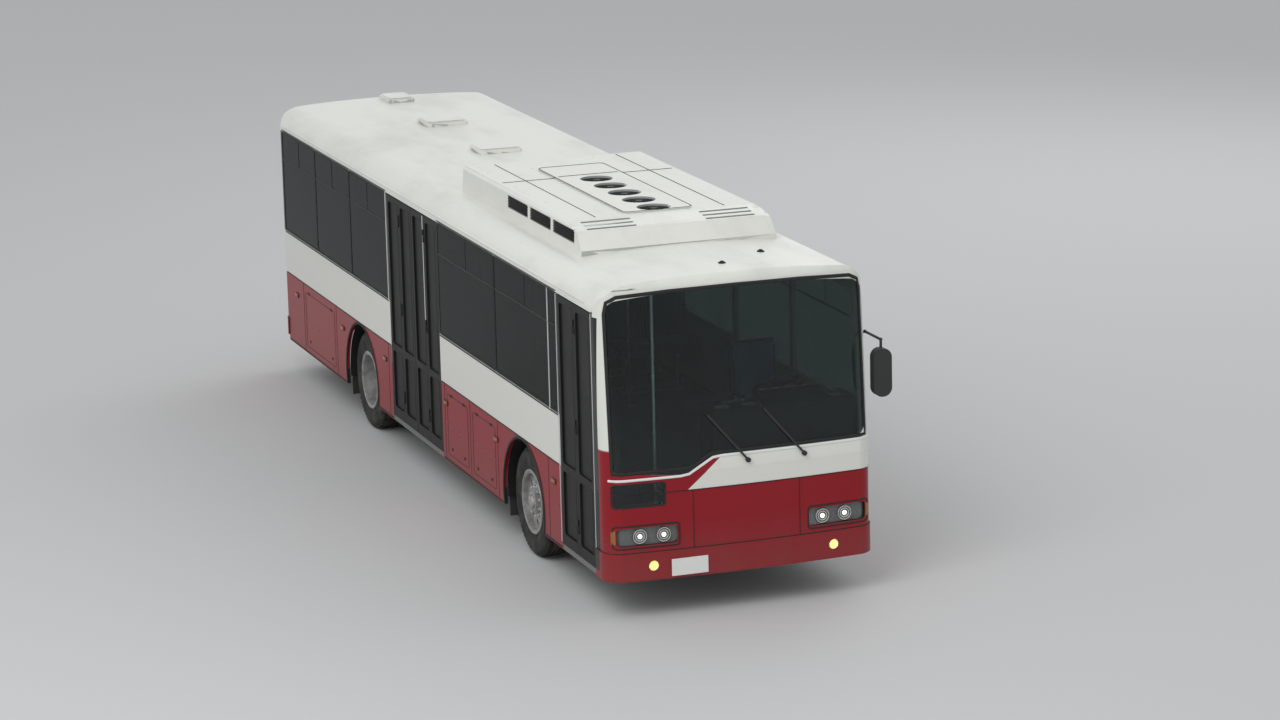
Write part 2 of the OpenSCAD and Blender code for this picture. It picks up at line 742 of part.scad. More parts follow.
// Rear axle: banjo bowl in the middle, tapered tubes, spring pads and the hubs' spindles
bowl_r = 190;
module rear_axle() {
    color("dimgray") translate([rear_axle_x, 0, tyre_r]) {
        rotate([0, 90, 0]) cylinder(r = bowl_r, h = 2 * bowl_r, center = true, $fn = 64);
        rotate([90, 0, 0]) cylinder(r = 65, h = 2 * (tyre_y - twin_pitch - seam), center = true, $fn = 48);
        rotate([90, 0, 0]) cylinder(r = stub_r + 8, h = 2 * (tyre_y - seam), center = true, $fn = 48);
        for (s = [-1, 1]) translate([-90, s * rail_y - 60, 0]) cube([180, 120, axle_top - tyre_r]);
    }
}

// Tyre round the Y axis, its middle at the origin: crowned tread and round shoulders
module tyre() {
    half = tyre_w / 2;
    rotate([90, 0, 0]) rotate_extrude($fn = 72) difference() {
        union() {
            translate([rim_r + 3, -half + 22]) square([tyre_r - rim_r - 33, tyre_w - 44]);
            translate([rim_r + 40, -half]) square([tyre_r - rim_r - 100, tyre_w]);
            translate([tyre_r - 60, -half + 30]) square([60, tyre_w - 60]);
            for (s = [-1, 1]) {
                translate([tyre_r - 30, s * (half - 30)]) circle(r = 30, $fn = 32);
                translate([rim_r + 40, s * (half - 22)]) circle(r = 22, $fn = 32);
                translate([tyre_r - 62, s * (half - 32)]) circle(r = 32, $fn = 32);
            }
        }
        translate([0, -half - 1]) square([rim_r + 3, tyre_w + 2]);
        for (g = [-75, -25, 25, 75]) translate([tyre_r - 12, g - 6]) square([20, 12]);
    }
}

// Disc wheel round the Y axis with its dish towards +Y by dish, a bore for the hub and hand holes
module rim(dish, bore) {
    half = tyre_w / 2 - 15;
    rotate([-90, 0, 0]) difference() {
        union() {
            rotate_extrude($fn = 72) {
                translate([rim_r - 22, -half]) square([22 + 3 - fit, 2 * half]);
                for (s = [-1, 1]) translate([rim_r - 10, s * half - 6]) square([26, 12]);
                translate([95, dish - 8]) square([rim_r - 100, 16]);
            }
            translate([0, 0, dish - 90]) cylinder(r = 105, h = 130, $fn = 48);
        }
        translate([0, 0, dish - 200]) cylinder(r = bore, h = 400, $fn = 48);
        for (i = [0 : 7]) rotate([0, 0, i * 45]) translate([200, 0, dish - 50])
            cylinder(r = 28, h = 100, $fn = 32);
    }
}
hub_gap = 0.15;
module front_tyre() { translate([front_axle_x, tyre_y, tyre_r]) tyre(); }
module front_rim() { translate([front_axle_x, tyre_y, tyre_r]) rim(70, stub_r + hub_gap); }
module rear_tyres() {
    for (i = [0, 1]) translate([rear_axle_x, tyre_y - i * twin_pitch, tyre_r]) tyre();
}
module rear_rims() {
    translate([rear_axle_x, tyre_y, tyre_r]) rim(-60, stub_r + 8 + hub_gap);
    translate([rear_axle_x, tyre_y - twin_pitch, tyre_r]) mirror([0, 1, 0]) rim(-60, stub_r + 8 + hub_gap);
    translate([rear_axle_x, tyre_y - twin_pitch, tyre_r]) rotate([-90, 0, 0]) difference() {
        cylinder(r = 105, h = twin_pitch, $fn = 48);
        translate([0, 0, -1]) cylinder(r = stub_r + 8 + hub_gap, h = twin_pitch + 2, $fn = 48);
    }
}
module front_tyre_left() { color("black") front_tyre(); }
module front_tyre_right() { color("black") mirror([0, 1, 0]) front_tyre(); }
module front_rim_left() { color("silver") front_rim(); }
module front_rim_right() { color("silver") mirror([0, 1, 0]) front_rim(); }
module rear_tyres_left() { color("black") rear_tyres(); }
module rear_tyres_right() { color("black") mirror([0, 1, 0]) rear_tyres(); }
module rear_rims_left() { color("silver") rear_rims(); }
module rear_rims_right() { color("silver") mirror([0, 1, 0]) rear_rims(); }

// Folding doors. Each row of DOORS is one pair of leaves that hang from one jamb:
// [station of the jamb, way from the jamb across the opening, width of the opening it covers]
leaf_z0 = step_z + leaf_gap;
leaf_z1 = header_z - leaf_gap;
leaf_mid_y = -hw + leaf_t / 2;
hinge_y = -hw - hinge_proud;
hinge_r = hinge_proud - 0.5;
leaf_seam = 4;
mid_pair_w = (mid_door_x1 - mid_door_x0) / 2;
function leaf_w(w) = (w - 1.5 * leaf_gap - leaf_seam) / 2;

// Leaf frame and its two panes, from x = 0 at the jamb's side to x = w
module leaf(w) {
    h = leaf_z1 - leaf_z0;
    waist = sill_z - leaf_z0 - 500;
    edge = leaf_frame;
    upper = [waist + edge, h - edge];
    lower = [edge + 30, waist];
    difference() {
        translate([0, leaf_mid_y - leaf_t / 2, leaf_z0]) cube([w, leaf_t, h]);
        for (v = [upper, lower]) translate([edge, leaf_mid_y + leaf_t, leaf_z0 + v[0]])
            rotate([90, 0, 0]) linear_extrude(height = 2 * leaf_t)
                round_rect(w - 2 * edge, v[1] - v[0], 30);
    }
    for (v = [upper, lower]) translate([edge + fit, leaf_mid_y + glass_t / 2, leaf_z0 + v[0] + fit])
        rotate([90, 0, 0]) linear_extrude(height = glass_t)
            round_rect(w - 2 * (edge + fit), v[1] - v[0] - 2 * fit, 30 - fit);
}

// Barrels of the hinge between two leaves, at heights given, each with its flange to x = side
module hinge_barrels(heights, side) {
    for (z = heights) translate([0, hinge_y, z]) {
        cylinder(r = hinge_r, h = 60, $fn = 32);
        translate([side > 0 ? 2 : -26, -2, 0]) cube([24, hinge_proud + 3, 60]);
        translate([side > 0 ? 0 : -8, -2, 0]) cube([8, 3, 60]);
    }
}
OUTER_BARRELS = [leaf_z0 + 200, leaf_z0 + 1100, leaf_z0 + 2000];
INNER_BARRELS = [for (z = OUTER_BARRELS) z + 65];

// Leaf that turns on the jamb; way is +1 if the opening lies forward of the jamb
module jamb_leaf(jamb, way, w) {
    translate([jamb + way * leaf_gap, 0, 0]) mirror([way > 0 ? 0 : 1, 0, 0]) {
        leaf(leaf_w(w));
        translate([leaf_w(w) + leaf_seam / 2, 0, 0]) hinge_barrels(OUTER_BARRELS, -1);
        translate([pivot_in, leaf_mid_y, step_z + fit]) cylinder(r = 12, h = leaf_gap, $fn = 32);
        translate([pivot_in, leaf_mid_y, leaf_z1 - 1]) cylinder(r = 12, h = leaf_gap + 1, $fn = 32);
    }
}

// Leaf that hangs from the jamb's leaf and closes the opening
module far_leaf(jamb, way, w) {
    translate([jamb + way * (leaf_gap + leaf_w(w) + leaf_seam), 0, 0]) mirror([way > 0 ? 0 : 1, 0, 0]) {
        leaf(leaf_w(w));
        translate([-leaf_seam / 2, 0, 0]) hinge_barrels(INNER_BARRELS, 1);
    }
}
module front_door_jamb_leaf() { color("darkslategray") jamb_leaf(front_door_x1, -1, front_door_w); }
module front_door_far_leaf() { color("darkslategray") far_leaf(front_door_x1, -1, front_door_w); }
module mid_door_rear_jamb_leaf() { color("darkslategray") jamb_leaf(mid_door_x0, 1, mid_pair_w); }
module mid_door_rear_far_leaf() { color("darkslategray") far_leaf(mid_door_x0, 1, mid_pair_w); }
module mid_door_front_jamb_leaf() { color("darkslategray") jamb_leaf(mid_door_x1, -1, mid_pair_w); }
module mid_door_front_far_leaf() { color("darkslategray") far_leaf(mid_door_x1, -1, mid_pair_w); }

// Bumpers wrap the lower corners; the front one carries the fog lamps' and plate's recesses
bumper_out = 12;
fog_y = 840;
fog_z = 477;
plate_w = 335;
plate_h = 150;
plate_y = -520;
front_plate_z = 375;
module front_bumper() {
    color("firebrick") difference() {
        intersection() {
            envelope(-bumper_out);
            zone(front_split, hl + 50, skirt_z, bumper_z);
        }
        intersection() {
            envelope(wall_t);
            zone(front_split - 50, hl + 50, skirt_z - 50, bumper_z + 50);
        }
        for (s = [-1, 1]) translate([hl - 150, s * fog_y, fog_z]) rotate([0, 90, 0])
            cylinder(r = 45, h = 300, $fn = 48);
    }
}
module rear_bumper() {
    color("firebrick") difference() {
        intersection() {
            envelope(-bumper_out);
            zone(-hl - 50, rear_split, skirt_z + 60, bumper_z);
        }
        intersection() {
            envelope(wall_t);
            zone(-hl - 50, rear_split + 50, skirt_z, bumper_z + 50);
        }
    }
}

// Headlamp trays with two round lamps each and a corner lens, and the round fog lamps
LAMP_Y = [740, 955];
lamp_r = 66;
lamp_l = 70;
module front_lamps() {
    color("gainsboro") for (s = [0, 1]) mirror([0, s, 0]) {
        front_skin(30, 14) lamp_outline(-fit);
        for (y = LAMP_Y) translate([front_x(y + lamp_r) - lamp_l - 6, y, (lamp_z0 + lamp_z1) / 2])
            rotate([0, 90, 0]) cylinder(r1 = lamp_r - 8, r2 = lamp_r, h = lamp_l, $fn = 48);
        translate([hl - 150, 0, 0]) rotate([90, 0, 90]) linear_extrude(height = lamp_l)
            translate([1060, lamp_z0 + 20]) round_rect(70, lamp_z1 - lamp_z0 - 40, 15);
        translate([hl - 80, fog_y, fog_z]) rotate([0, 90, 0]) cylinder(r = 45 - fit, h = 50, $fn = 48);
    }
}

// Rear lamp columns at the corners, three round lenses on each backing plate
module tail_lamps() {
    color("maroon") for (s = [0, 1]) mirror([0, s, 0]) {
        translate([-hl - 12, hw - rear_r - 120, 700]) rotate([90, 0, 90])
            linear_extrude(height = 12 - fit) round_rect(110, 520, 25);
        for (z = [790, 960, 1130]) translate([-hl - 32, hw - rear_r - 65, z]) rotate([0, 90, 0])
            cylinder(r1 = 40, r2 = 46, h = 22, $fn = 48);
    }
}

// Blank number plates, the front one to the door side
module number_plates() {
    color("white") {
        translate([front_x(abs(plate_y) - plate_w / 2) + bumper_out + fit, plate_y - plate_w / 2, front_plate_z])
            cube([10, plate_w, plate_h]);
        translate([-hl - bumper_out - fit - 10, -plate_w / 2, 420]) cube([10, plate_w, plate_h]);
    }
}

// Cooling unit on the roof: a low cover with a sloping nose, a raised middle, a row of round
// fan openings, louvres in the nose and grilles in both sides
pod_base_z = roof_z - 90;
pod_edge_z = pod_z - 12;
nose_l = 450;
nose_drop = 60;
brow_l = 130;
tail_l = 25;
fan_x0 = pod_x0 + 1300;
FAN_X = [for (i = [0 : 4]) fan_x0 + i * fan_pitch];
pod_skin = 18;

// Side view of the cover, moved inward by off
module pod_profile(off) {
    polygon([[pod_x0 + off, pod_base_z], [pod_x1 - off, pod_base_z], [pod_x1 - off, roof_z + 10],
             [pod_x1 - brow_l - off / 2, pod_edge_z - nose_drop - off],
             [pod_x1 - nose_l, pod_edge_z - off], [pod_x0 + tail_l + off, pod_edge_z - off],
             [pod_x0 + off, roof_z + 40]]);
}

// End view of the cover, moved inward by off: sides leaning in, round shoulders
module pod_section(off) {
    shoulder = 40;
    lean = 12;
    top_y = pod_y - lean - shoulder;
    polygon([[-pod_y + off, pod_base_z], [pod_y - off, pod_base_z],
             [top_y + shoulder - off, pod_edge_z - shoulder], [top_y, pod_edge_z - shoulder],
             [top_y, pod_edge_z - off], [-top_y, pod_edge_z - off],
             [-top_y, pod_edge_z - shoulder], [-top_y - shoulder + off, pod_edge_z - shoulder]]);
    for (s = [-1, 1]) translate([s * top_y, pod_edge_z - shoulder]) circle(r = shoulder - off, $fn = 48);
}
module pod_body(off) {
    intersection() {
        rotate([90, 0, 0]) linear_extrude(height = 2 * pod_y + 20, center = true) pod_profile(off);
        rotate([90, 0, 90]) linear_extrude(height = pod_x1 + 100) pod_section(off);
    }
}
deck_half = 330;
module ac_pod() {
    nose_a = atan(nose_drop / (nose_l - brow_l));
    color("ivory") difference() {
        union() {
            pod_body(0);
            translate([pod_x0 + 500, -deck_half, pod_edge_z - 30]) linear_extrude(height = pod_z - pod_edge_z + 30)
                round_rect(pod_x1 - nose_l - pod_x0 - 560, 2 * deck_half, 60);
        }
        intersection() {
            pod_body(pod_skin);
            translate([pod_x0, -pod_y, pod_base_z - 1]) cube([pod_x1 - pod_x0, 2 * pod_y, pod_z]);
        }
        section_prism(-fit);
        for (x = FAN_X) translate([x, 0, pod_edge_z - 60]) cylinder(d = fan_d, h = 200, $fn = 64);
        for (s = [-1, 1], i = [0 : 2])
            translate([pod_x1 - nose_l + 75 + i * 85, s * 565, pod_edge_z - 20 - i * 85 * tan(nose_a)])
                rotate([0, nose_a, 0]) cube([34, 470, 160], center = true);
        for (s = [-1, 1], i = [0 : 2])
            translate([pod_x0 + 1720 + i * 665, s * pod_y, (roof_z + pod_edge_z) / 2 - 5])
                cube([590, 140, 105], center = true);
    }
}

// Five fans under the round openings: a ring, a hub and seven blades each, and the grilles behind
// the openings in the sides
module ac_fans() {
    fan_z = pod_edge_z - pod_skin - fit;
    color("black") {
        for (x = FAN_X) translate([x, 0, fan_z - 30]) {
            difference() {
                cylinder(r = fan_d / 2 + 16, h = 30, $fn = 64);
                translate([0, 0, -1]) cylinder(r = fan_d / 2 - 4, h = 32, $fn = 64);
            }
            cylinder(r = 45, h = 26, $fn = 48);
            for (k = [0 : 6]) rotate([0, 0, k * 360 / 7]) translate([20, -22, 4]) rotate([18, 0, 0])
                cube([fan_d / 2 - 20, 44, 5]);
        }
        translate([pod_x0 + 1300, -fan_d / 2, fan_z - 60]) cube([4 * fan_pitch, fan_d, 30 - fit]);
    }
}

// Low covers on the roof: two hatches and the vent at the back
VENTS = [[-hl + 4000, 450], [-hl + 2150, 450], [-hl + 450, 300]];
module roof_vents() {
    color("ivory") difference() {
        for (v = VENTS) {
            translate([v[0] - 210, -v[1] / 2, roof_z - 40]) linear_extrude(height = 75) round_rect(420, v[1], 50);
            translate([v[0] - 190, -v[1] / 2 + 20, roof_z - 40]) linear_extrude(height = 90)
                round_rect(380, v[1] - 40, 40);
        }
        section_prism(-fit);
    }
}

// Mirrors: a foot on the corner pillar, an arm out, forward and down, and the shell on its end
mirror_y = hw + 38;
mirror_x = hl + 40;
mirror_z = 2000;
mirror_foot_x = front_split + 45;
arm_z = 2290;
arm_r = 12;
module side_mirror() {
    color("black") {
        translate([mirror_x + 45, mirror_y, mirror_z]) rotate([0, -90, 0]) linear_extrude(height = 90)
            translate([-215, -85]) round_rect(430, 170, 80);
        translate([mirror_x, mirror_y, mirror_z]) cylinder(r = arm_r, h = arm_z - mirror_z, $fn = 32);
        translate([mirror_foot_x, mirror_y, arm_z]) rotate([0, 90, 0])
            cylinder(r = arm_r, h = mirror_x - mirror_foot_x, $fn = 32);
        for (x = [mirror_foot_x, mirror_x])
            translate([x, mirror_y, arm_z]) sphere(r = arm_r + 4, $fn = 32);
        translate([mirror_foot_x, mirror_y, arm_z]) rotate([90, 0, 0])
            cylinder(r = arm_r, h = mirror_y - hw - fit, $fn = 32);
        translate([mirror_foot_x, hw + fit + 10, arm_z]) rotate([90, 0, 0]) cylinder(r = 30, h = 10, $fn = 48);
    }
}

// Wipers: a spindle under the screen's lower edge, an arm with its blade across the glass
wiper_y = [570, 40];
wiper_z = screen_z - 90;
spindle_r = 22;
module wipers() {
    color("black") for (y = wiper_y) translate([screen_x(y - spindle_r, wiper_z - spindle_r) + fit / 3, y, wiper_z]) {
        rotate([0, 90, 0]) cylinder(r = spindle_r, h = 26, $fn = 32);
        translate([12, 0, 0]) rotate([40, -rake_a, 0]) translate([0, -9, 0]) cube([9, 18, 560]);
    }
}

// Driver's place: dashboard with the column, the wheel on its shaft, and the seat
driver_y = 650;
driver_x = hl - 1080;
wheel_lean = -35;
wheel_at = [driver_x + 270, driver_y, floor_z + 810];
column_r = 30;
module dashboard() {
    color("dimgray") {
        difference() {
            translate([hl - 600, -180, floor_z + fit]) cube([330, in_y + 150, 780]);
            translate([hl - 601, driver_y - 280, floor_z]) cube([230, 560, 620]);
        }
        translate([hl - 600, driver_y - 300, floor_z + 780]) rotate([0, 12, 0]) cube([300, 600, 60]);
        translate([wheel_at[0], driver_y, wheel_at[2]]) rotate([0, wheel_lean, 0])
            translate([0, 0, -800]) cylinder(r = column_r, h = 800 - 34 - fit, $fn = 48);
    }
}
module steering_wheel() {
    color("black") translate(wheel_at) rotate([0, wheel_lean, 0]) {
        rotate_extrude($fn = 96) translate([225, 0]) circle(r = 15, $fn = 32);
        translate([0, 0, -34]) cylinder(r = 55, h = 40, $fn = 48);
        for (k = [0 : 3]) rotate([0, 0, 45 + k * 90]) translate([40, -14, -12]) cube([175, 28, 12]);
    }
}

// Side view of a seat: cushion and leaning back, from its rear at x = 0, on a floor at z = 0
cushion_z = 380;
cushion_h = 90;
back_lean = 8;
module seat_profile() {
    translate([30, cushion_z]) round_rect(430, cushion_h, 30);
    translate([15, cushion_z + 5]) rotate(back_lean) round_rect(75, 650, 30);
}

// Seat w wide whose rear is at x, its middle at y, over the floor at z
module seat(x, y, z, w) {
    translate([x, y + w / 2, z]) rotate([90, 0, 0]) linear_extrude(height = w) seat_profile();
}

// Pedestal of a seat: foot plate on the base and a post up into the cushion
module seat_leg(x, y, base, z, w) {
    translate([x + 90, y - w / 2 + 60, base + fit]) cube([300, w - 120, 30]);
    translate([x + 190, y - 40, base + 20]) cube([100, 80, z + cushion_z + 20 - base - 20]);
}
module driver_seat() {
    color("darkslategray") {
        seat(driver_x - 330, driver_y, floor_z + 60, 460);
        seat_leg(driver_x - 330, driver_y, floor_z, floor_z + 60, 480);
    }
}

// Passenger seats, pairs in a row along the left side and a bench at the back
seat_pitch = 760;
SEAT_ROWS = [for (x = [rear_floor_x + 850 : seat_pitch : front_axle_x - 1650]) x];
module passenger_seats() {
    color("steelblue") {
        for (x = SEAT_ROWS) {
            over_box = abs(x + 200 - rear_axle_x) < box_half + 250;
            base = over_box ? box_z + well_t : floor_z;
            z = over_box ? base - 210 : floor_z;
            seat(x, in_y - 460, z, 840);
            seat_leg(x, in_y - 460, base, z, 840);
        }
        for (y = [-740, 0, 740]) {
            seat(-hl + 330, y, rear_floor_z, 700);
            translate([-hl + 390, y - 330, rear_floor_z + fit]) cube([330, 660, cushion_z + 20]);
        }
    }
}

// Grab poles from the floor to a pair of rails under the roof, each tube a piece of its own
grab_z = 2560;
grab_x0 = rear_floor_x + 150;
grab_x1 = front_door_x0 - 260;
pole_r = 16;
pole_y = 290;
front_pole_y = 700;
POLES_LEFT = [for (i = [0 : 3]) rear_floor_x + 950 + 2 * i * seat_pitch];
POLES_RIGHT = [mid_door_x0 - 120, mid_door_x1 + 120, front_axle_x - 650];
GRAB_HANGERS = [for (i = [0 : 4]) grab_x0 + 100 + i * (grab_x1 - grab_x0 - 200) / 4];
function ceiling_z(y) = roof_z - crown_r + sqrt(pow(crown_r - wall_t, 2) - pow(y, 2));
module pole(x, y, z0, z1) { translate([x, y, z0 + fit]) cylinder(r = pole_r, h = z1 - z0 - 2 * fit, $fn = 32); }
module grab_rails() {
    color("silver") {
        for (s = [-1, 1]) {
            translate([grab_x0, s * pole_y, grab_z]) rotate([0, 90, 0])
                cylinder(r = pole_r, h = grab_x1 - grab_x0, $fn = 32);
            for (x = s > 0 ? POLES_LEFT : POLES_RIGHT) pole(x, s * pole_y, floor_z, grab_z - pole_r);
            for (x = GRAB_HANGERS) pole(x, s * pole_y, grab_z + pole_r, ceiling_z(pole_y + pole_r));
        }
        pole(front_split + 25, -front_pole_y, floor_z, ceiling_z(front_pole_y + pole_r));
    }
}

chassis_frame();
cross_beams();
floor_deck();
skirts_right();
skirts_left();
wall_right();
wall_left();
front_panel();
rear_panel();
roof();
windscreen();
side_windows_right();
side_windows_left();
rear_window();
front_bumper();
rear_bumper();
front_lamps();
tail_lamps();
number_plates();
ac_pod();
ac_fans();
roof_vents();
side_mirror();
wipers();
engine();
tanks();
propshaft();
front_axle();
rear_axle();
springs();
dashboard();
driver_seat();
passenger_seats();
grab_rails();
steering_wheel();
engine_door();
front_door_jamb_leaf();
front_door_far_leaf();
mid_door_rear_jamb_leaf();
mid_door_rear_far_leaf();
mid_door_front_jamb_leaf();
mid_door_front_far_leaf();
knuckle_left();
knuckle_right();
front_tyre_left();
front_tyre_right();
front_rim_left();
front_rim_right();
rear_tyres_left();
rear_tyres_right();
rear_rims_left();
rear_rims_right();
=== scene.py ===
"""Looks of an airport passenger bus with folding doors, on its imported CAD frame."""

import math

import bmesh
import bpy
from mathutils import Matrix, Vector
from mathutils.bvhtree import BVHTree


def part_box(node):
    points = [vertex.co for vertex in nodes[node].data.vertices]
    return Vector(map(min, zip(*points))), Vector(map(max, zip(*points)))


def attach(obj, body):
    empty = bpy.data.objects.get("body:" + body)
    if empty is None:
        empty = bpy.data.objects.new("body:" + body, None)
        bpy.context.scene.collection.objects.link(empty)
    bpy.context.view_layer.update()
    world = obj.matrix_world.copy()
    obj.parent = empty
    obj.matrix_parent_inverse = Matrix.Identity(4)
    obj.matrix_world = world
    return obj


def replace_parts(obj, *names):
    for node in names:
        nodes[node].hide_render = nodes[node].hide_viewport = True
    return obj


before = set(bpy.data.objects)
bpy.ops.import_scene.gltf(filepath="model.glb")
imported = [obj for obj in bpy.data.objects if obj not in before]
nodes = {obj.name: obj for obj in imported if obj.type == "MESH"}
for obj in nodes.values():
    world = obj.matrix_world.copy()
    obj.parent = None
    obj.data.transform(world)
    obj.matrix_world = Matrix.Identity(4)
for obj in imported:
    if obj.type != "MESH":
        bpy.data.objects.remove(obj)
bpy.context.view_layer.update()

# ---- the coach's own sizes and parts, in metres, as the frame has them

HALF_WIDTH = 1.245
SKIRT, BELT, SILL, HEADER = 0.35, 1.12, 1.60, 2.69  # heights of the sides' lines
FRONT_AXLE, REAR_AXLE = 3.05, -2.35
TYRE, ARCH = 0.51, 0.60  # radii of the tyres and of the arches over them
FLOOR, WHEEL_BOX, PLATFORM = 0.95, 1.14, 1.29  # heights in the cabin; the platform is at the rear
TRIM_REAR, TRIM_FRONT = -5.27, 5.07  # where the trim along the sides ends
PANE_THICK = 0.008  # solids of the door leaves thinner than this are glass
LEAVES = {  # front and back edge of each door leaf
    "front_door_jamb_leaf": (4.612, 5.070),
    "front_door_far_leaf": (4.165, 4.623),
    "mid_door_rear_jamb_leaf": (-1.190, -0.762),
    "mid_door_rear_far_leaf": (-0.773, -0.345),
    "mid_door_front_jamb_leaf": (0.082, 0.510),
    "mid_door_front_far_leaf": (-0.335, 0.093),
}
LEAF_PANES = ((0.500, 1.095), (1.155, 2.622))  # lower and upper glass of a door leaf, from z to z
WHEELS = (  # tyre's node, body, axle, side, middle planes of the tyres, faces of the disc and the hub
    ("front_tyre_left", "front_wheel_left", FRONT_AXLE, 1, (1.04,), 1.118, 1.150),
    ("front_tyre_right", "front_wheel_right", FRONT_AXLE, -1, (1.04,), 1.118, 1.150),
    ("rear_tyres_left", "rear_wheels_left", REAR_AXLE, 1, (1.04, 0.72), 0.988, 1.040),
    ("rear_tyres_right", "rear_wheels_right", REAR_AXLE, -1, (1.04, 0.72), 0.988, 1.040),
)

# ---- materials


def operator(what, turned=False):
    """An operator of Value, made of a maths node; turned swaps its two sides."""

    def work(value, other=0.0):
        return value.finish.maths(what, *((other, value) if turned else (value, other)))

    return work


class Value:
    """A shader value that can stand in a sum."""

    def __init__(self, finish, socket):
        self.finish, self.socket = finish, socket

    __add__ = __radd__ = operator("ADD")
    __sub__, __rsub__ = operator("SUBTRACT"), operator("SUBTRACT", True)
    __mul__ = __rmul__ = operator("MULTIPLY")
    __gt__, __lt__ = operator("GREATER_THAN"), operator("LESS_THAN")
    __abs__ = operator("ABSOLUTE")


class Finish:
    """A procedural material: nodes are added with node(), and fed to the skin's sockets."""

    def __init__(self, name, **fixed):
        self.material = bpy.data.materials.new(name)
        self.material.use_nodes = True
        self.tree = self.material.node_tree
        self.skin = self.tree.nodes["Principled BSDF"]
        for socket, value in fixed.items():
            self.skin.inputs[socket.replace("_", " ")].default_value = value
        place = self.place = self.node("ShaderNodeTexCoord", out="Object")
        self.x, self.y, self.z = (self.node("ShaderNodeSeparateXYZ", {}, {"Vector": place}, axis) for axis in "XYZ")

    def node(self, kind, settings=None, sockets=None, out=0):
        made = self.tree.nodes.new(kind)
        for name, value in (settings or {}).items():
            setattr(made, name, value)
        for name, value in (sockets or {}).items():
            if isinstance(value, Value):
                self.tree.links.new(value.socket, made.inputs[name])
            else:
                made.inputs[name].default_value = value
        return Value(self, made.outputs[out])

    def maths(self, what, *values):
        return self.node("ShaderNodeMath", {"operation": what}, dict(enumerate(values)))

    def least(self, *values):
        return self.maths("MINIMUM", *values)

    def most(self, *values):
        return self.maths("MAXIMUM", *values)

    def step(self, value, low, high):
        """0 below low, 1 above high, smooth between."""
        ends = {"Value": value, "From Min": low, "From Max": high}
        return self.node("ShaderNodeMapRange", {"interpolation_type": "SMOOTHSTEP"}, ends)

    def between(self, value, low, high, soft=0.002):
        return self.step(value, low - soft, low + soft) * (1 - self.step(value, high - soft, high + soft))

    def mix(self, mask, first, second):
        return self.node("ShaderNodeMix", {"data_type": "RGBA"}, {0: mask, 6: first, 7: second}, 2)

    def scaled(self, size, stretch=(1, 1, 1)):
        return self.node("ShaderNodeMapping", {}, {"Vector": self.place, "Scale": [s / size for s in stretch]})

    def noise(self, size, detail=3, rough=0.5, stretch=(1, 1, 1)):
        """Cloudy grain about size metres across, lengthened along an axis by stretch below 1."""
        grain = {"Vector": self.scaled(size, stretch), "Scale": 1, "Detail": detail, "Roughness": rough}
        return self.node("ShaderNodeTexNoise", {}, grain)

    def cells(self, size):
        """Distance to the nearest of scattered points, about size metres apart."""
        return self.node("ShaderNodeTexVoronoi", {}, {"Vector": self.scaled(size), "Scale": 1}, "Distance")

    def waves(self, scale, axis, distortion=0.0):
        sockets = {"Vector": self.place, "Scale": scale, "Distortion": distortion}
        return self.node("ShaderNodeTexWave", {"bands_direction": axis}, sockets, 1)

    def feed(self, **values):
        for socket, value in values.items():
            self.tree.links.new(value.socket, self.skin.inputs[socket.replace("_", " ")])

    def relief(self, height, depth, strength=1.0):
        """Bumps of a depth in metres."""
        sockets = {"Height": height, "Distance": depth, "Strength": strength}
        self.feed(Normal=self.node("ShaderNodeBump", {}, sockets, "Normal"))


def grey(v):
    return (v, v, v, 1)


def shade(r, g, b):
    return (r, g, b, 1)


CREAM = shade(0.80, 0.80, 0.74)
RED = shade(0.29, 0.010, 0.018)
BAND = shade(0.010, 0.012, 0.012)
LINING = shade(0.46, 0.47, 0.44)
DUST = shade(0.21, 0.18, 0.15)


def outward(f):
    """1 on faces that look away from the cabin, 0 on those that look into it."""
    normal = f.node("ShaderNodeNewGeometry", out="Normal")
    middle = f.node("ShaderNodeClamp", {}, {"Value": f.x, "Min": -4.6, "Max": 4.6})
    from_middle = f.node("ShaderNodeCombineXYZ", {}, {"X": f.x - middle, "Y": f.y, "Z": (f.z - 1.75) * 0.9})
    return f.node("ShaderNodeVectorMath", {"operation": "DOT_PRODUCT"}, {0: normal, 1: from_middle}, "Value") > 0.0


def weathered(f, colour):
    """Road dust that thickens downwards, with soft streaks, over a colour."""
    streaks = f.noise(0.35, 4, 0.6, (1, 1, 0.16))
    cloud = f.noise(1.4, 3, 0.55)
    rise = 1 - f.step(f.z, SKIRT, 0.95)
    mask = f.least((rise * 0.7 + 0.06) * (streaks * 0.9 + cloud * 0.8) * 0.26, 0.8)
    return f.mix(mask, colour, DUST), mask


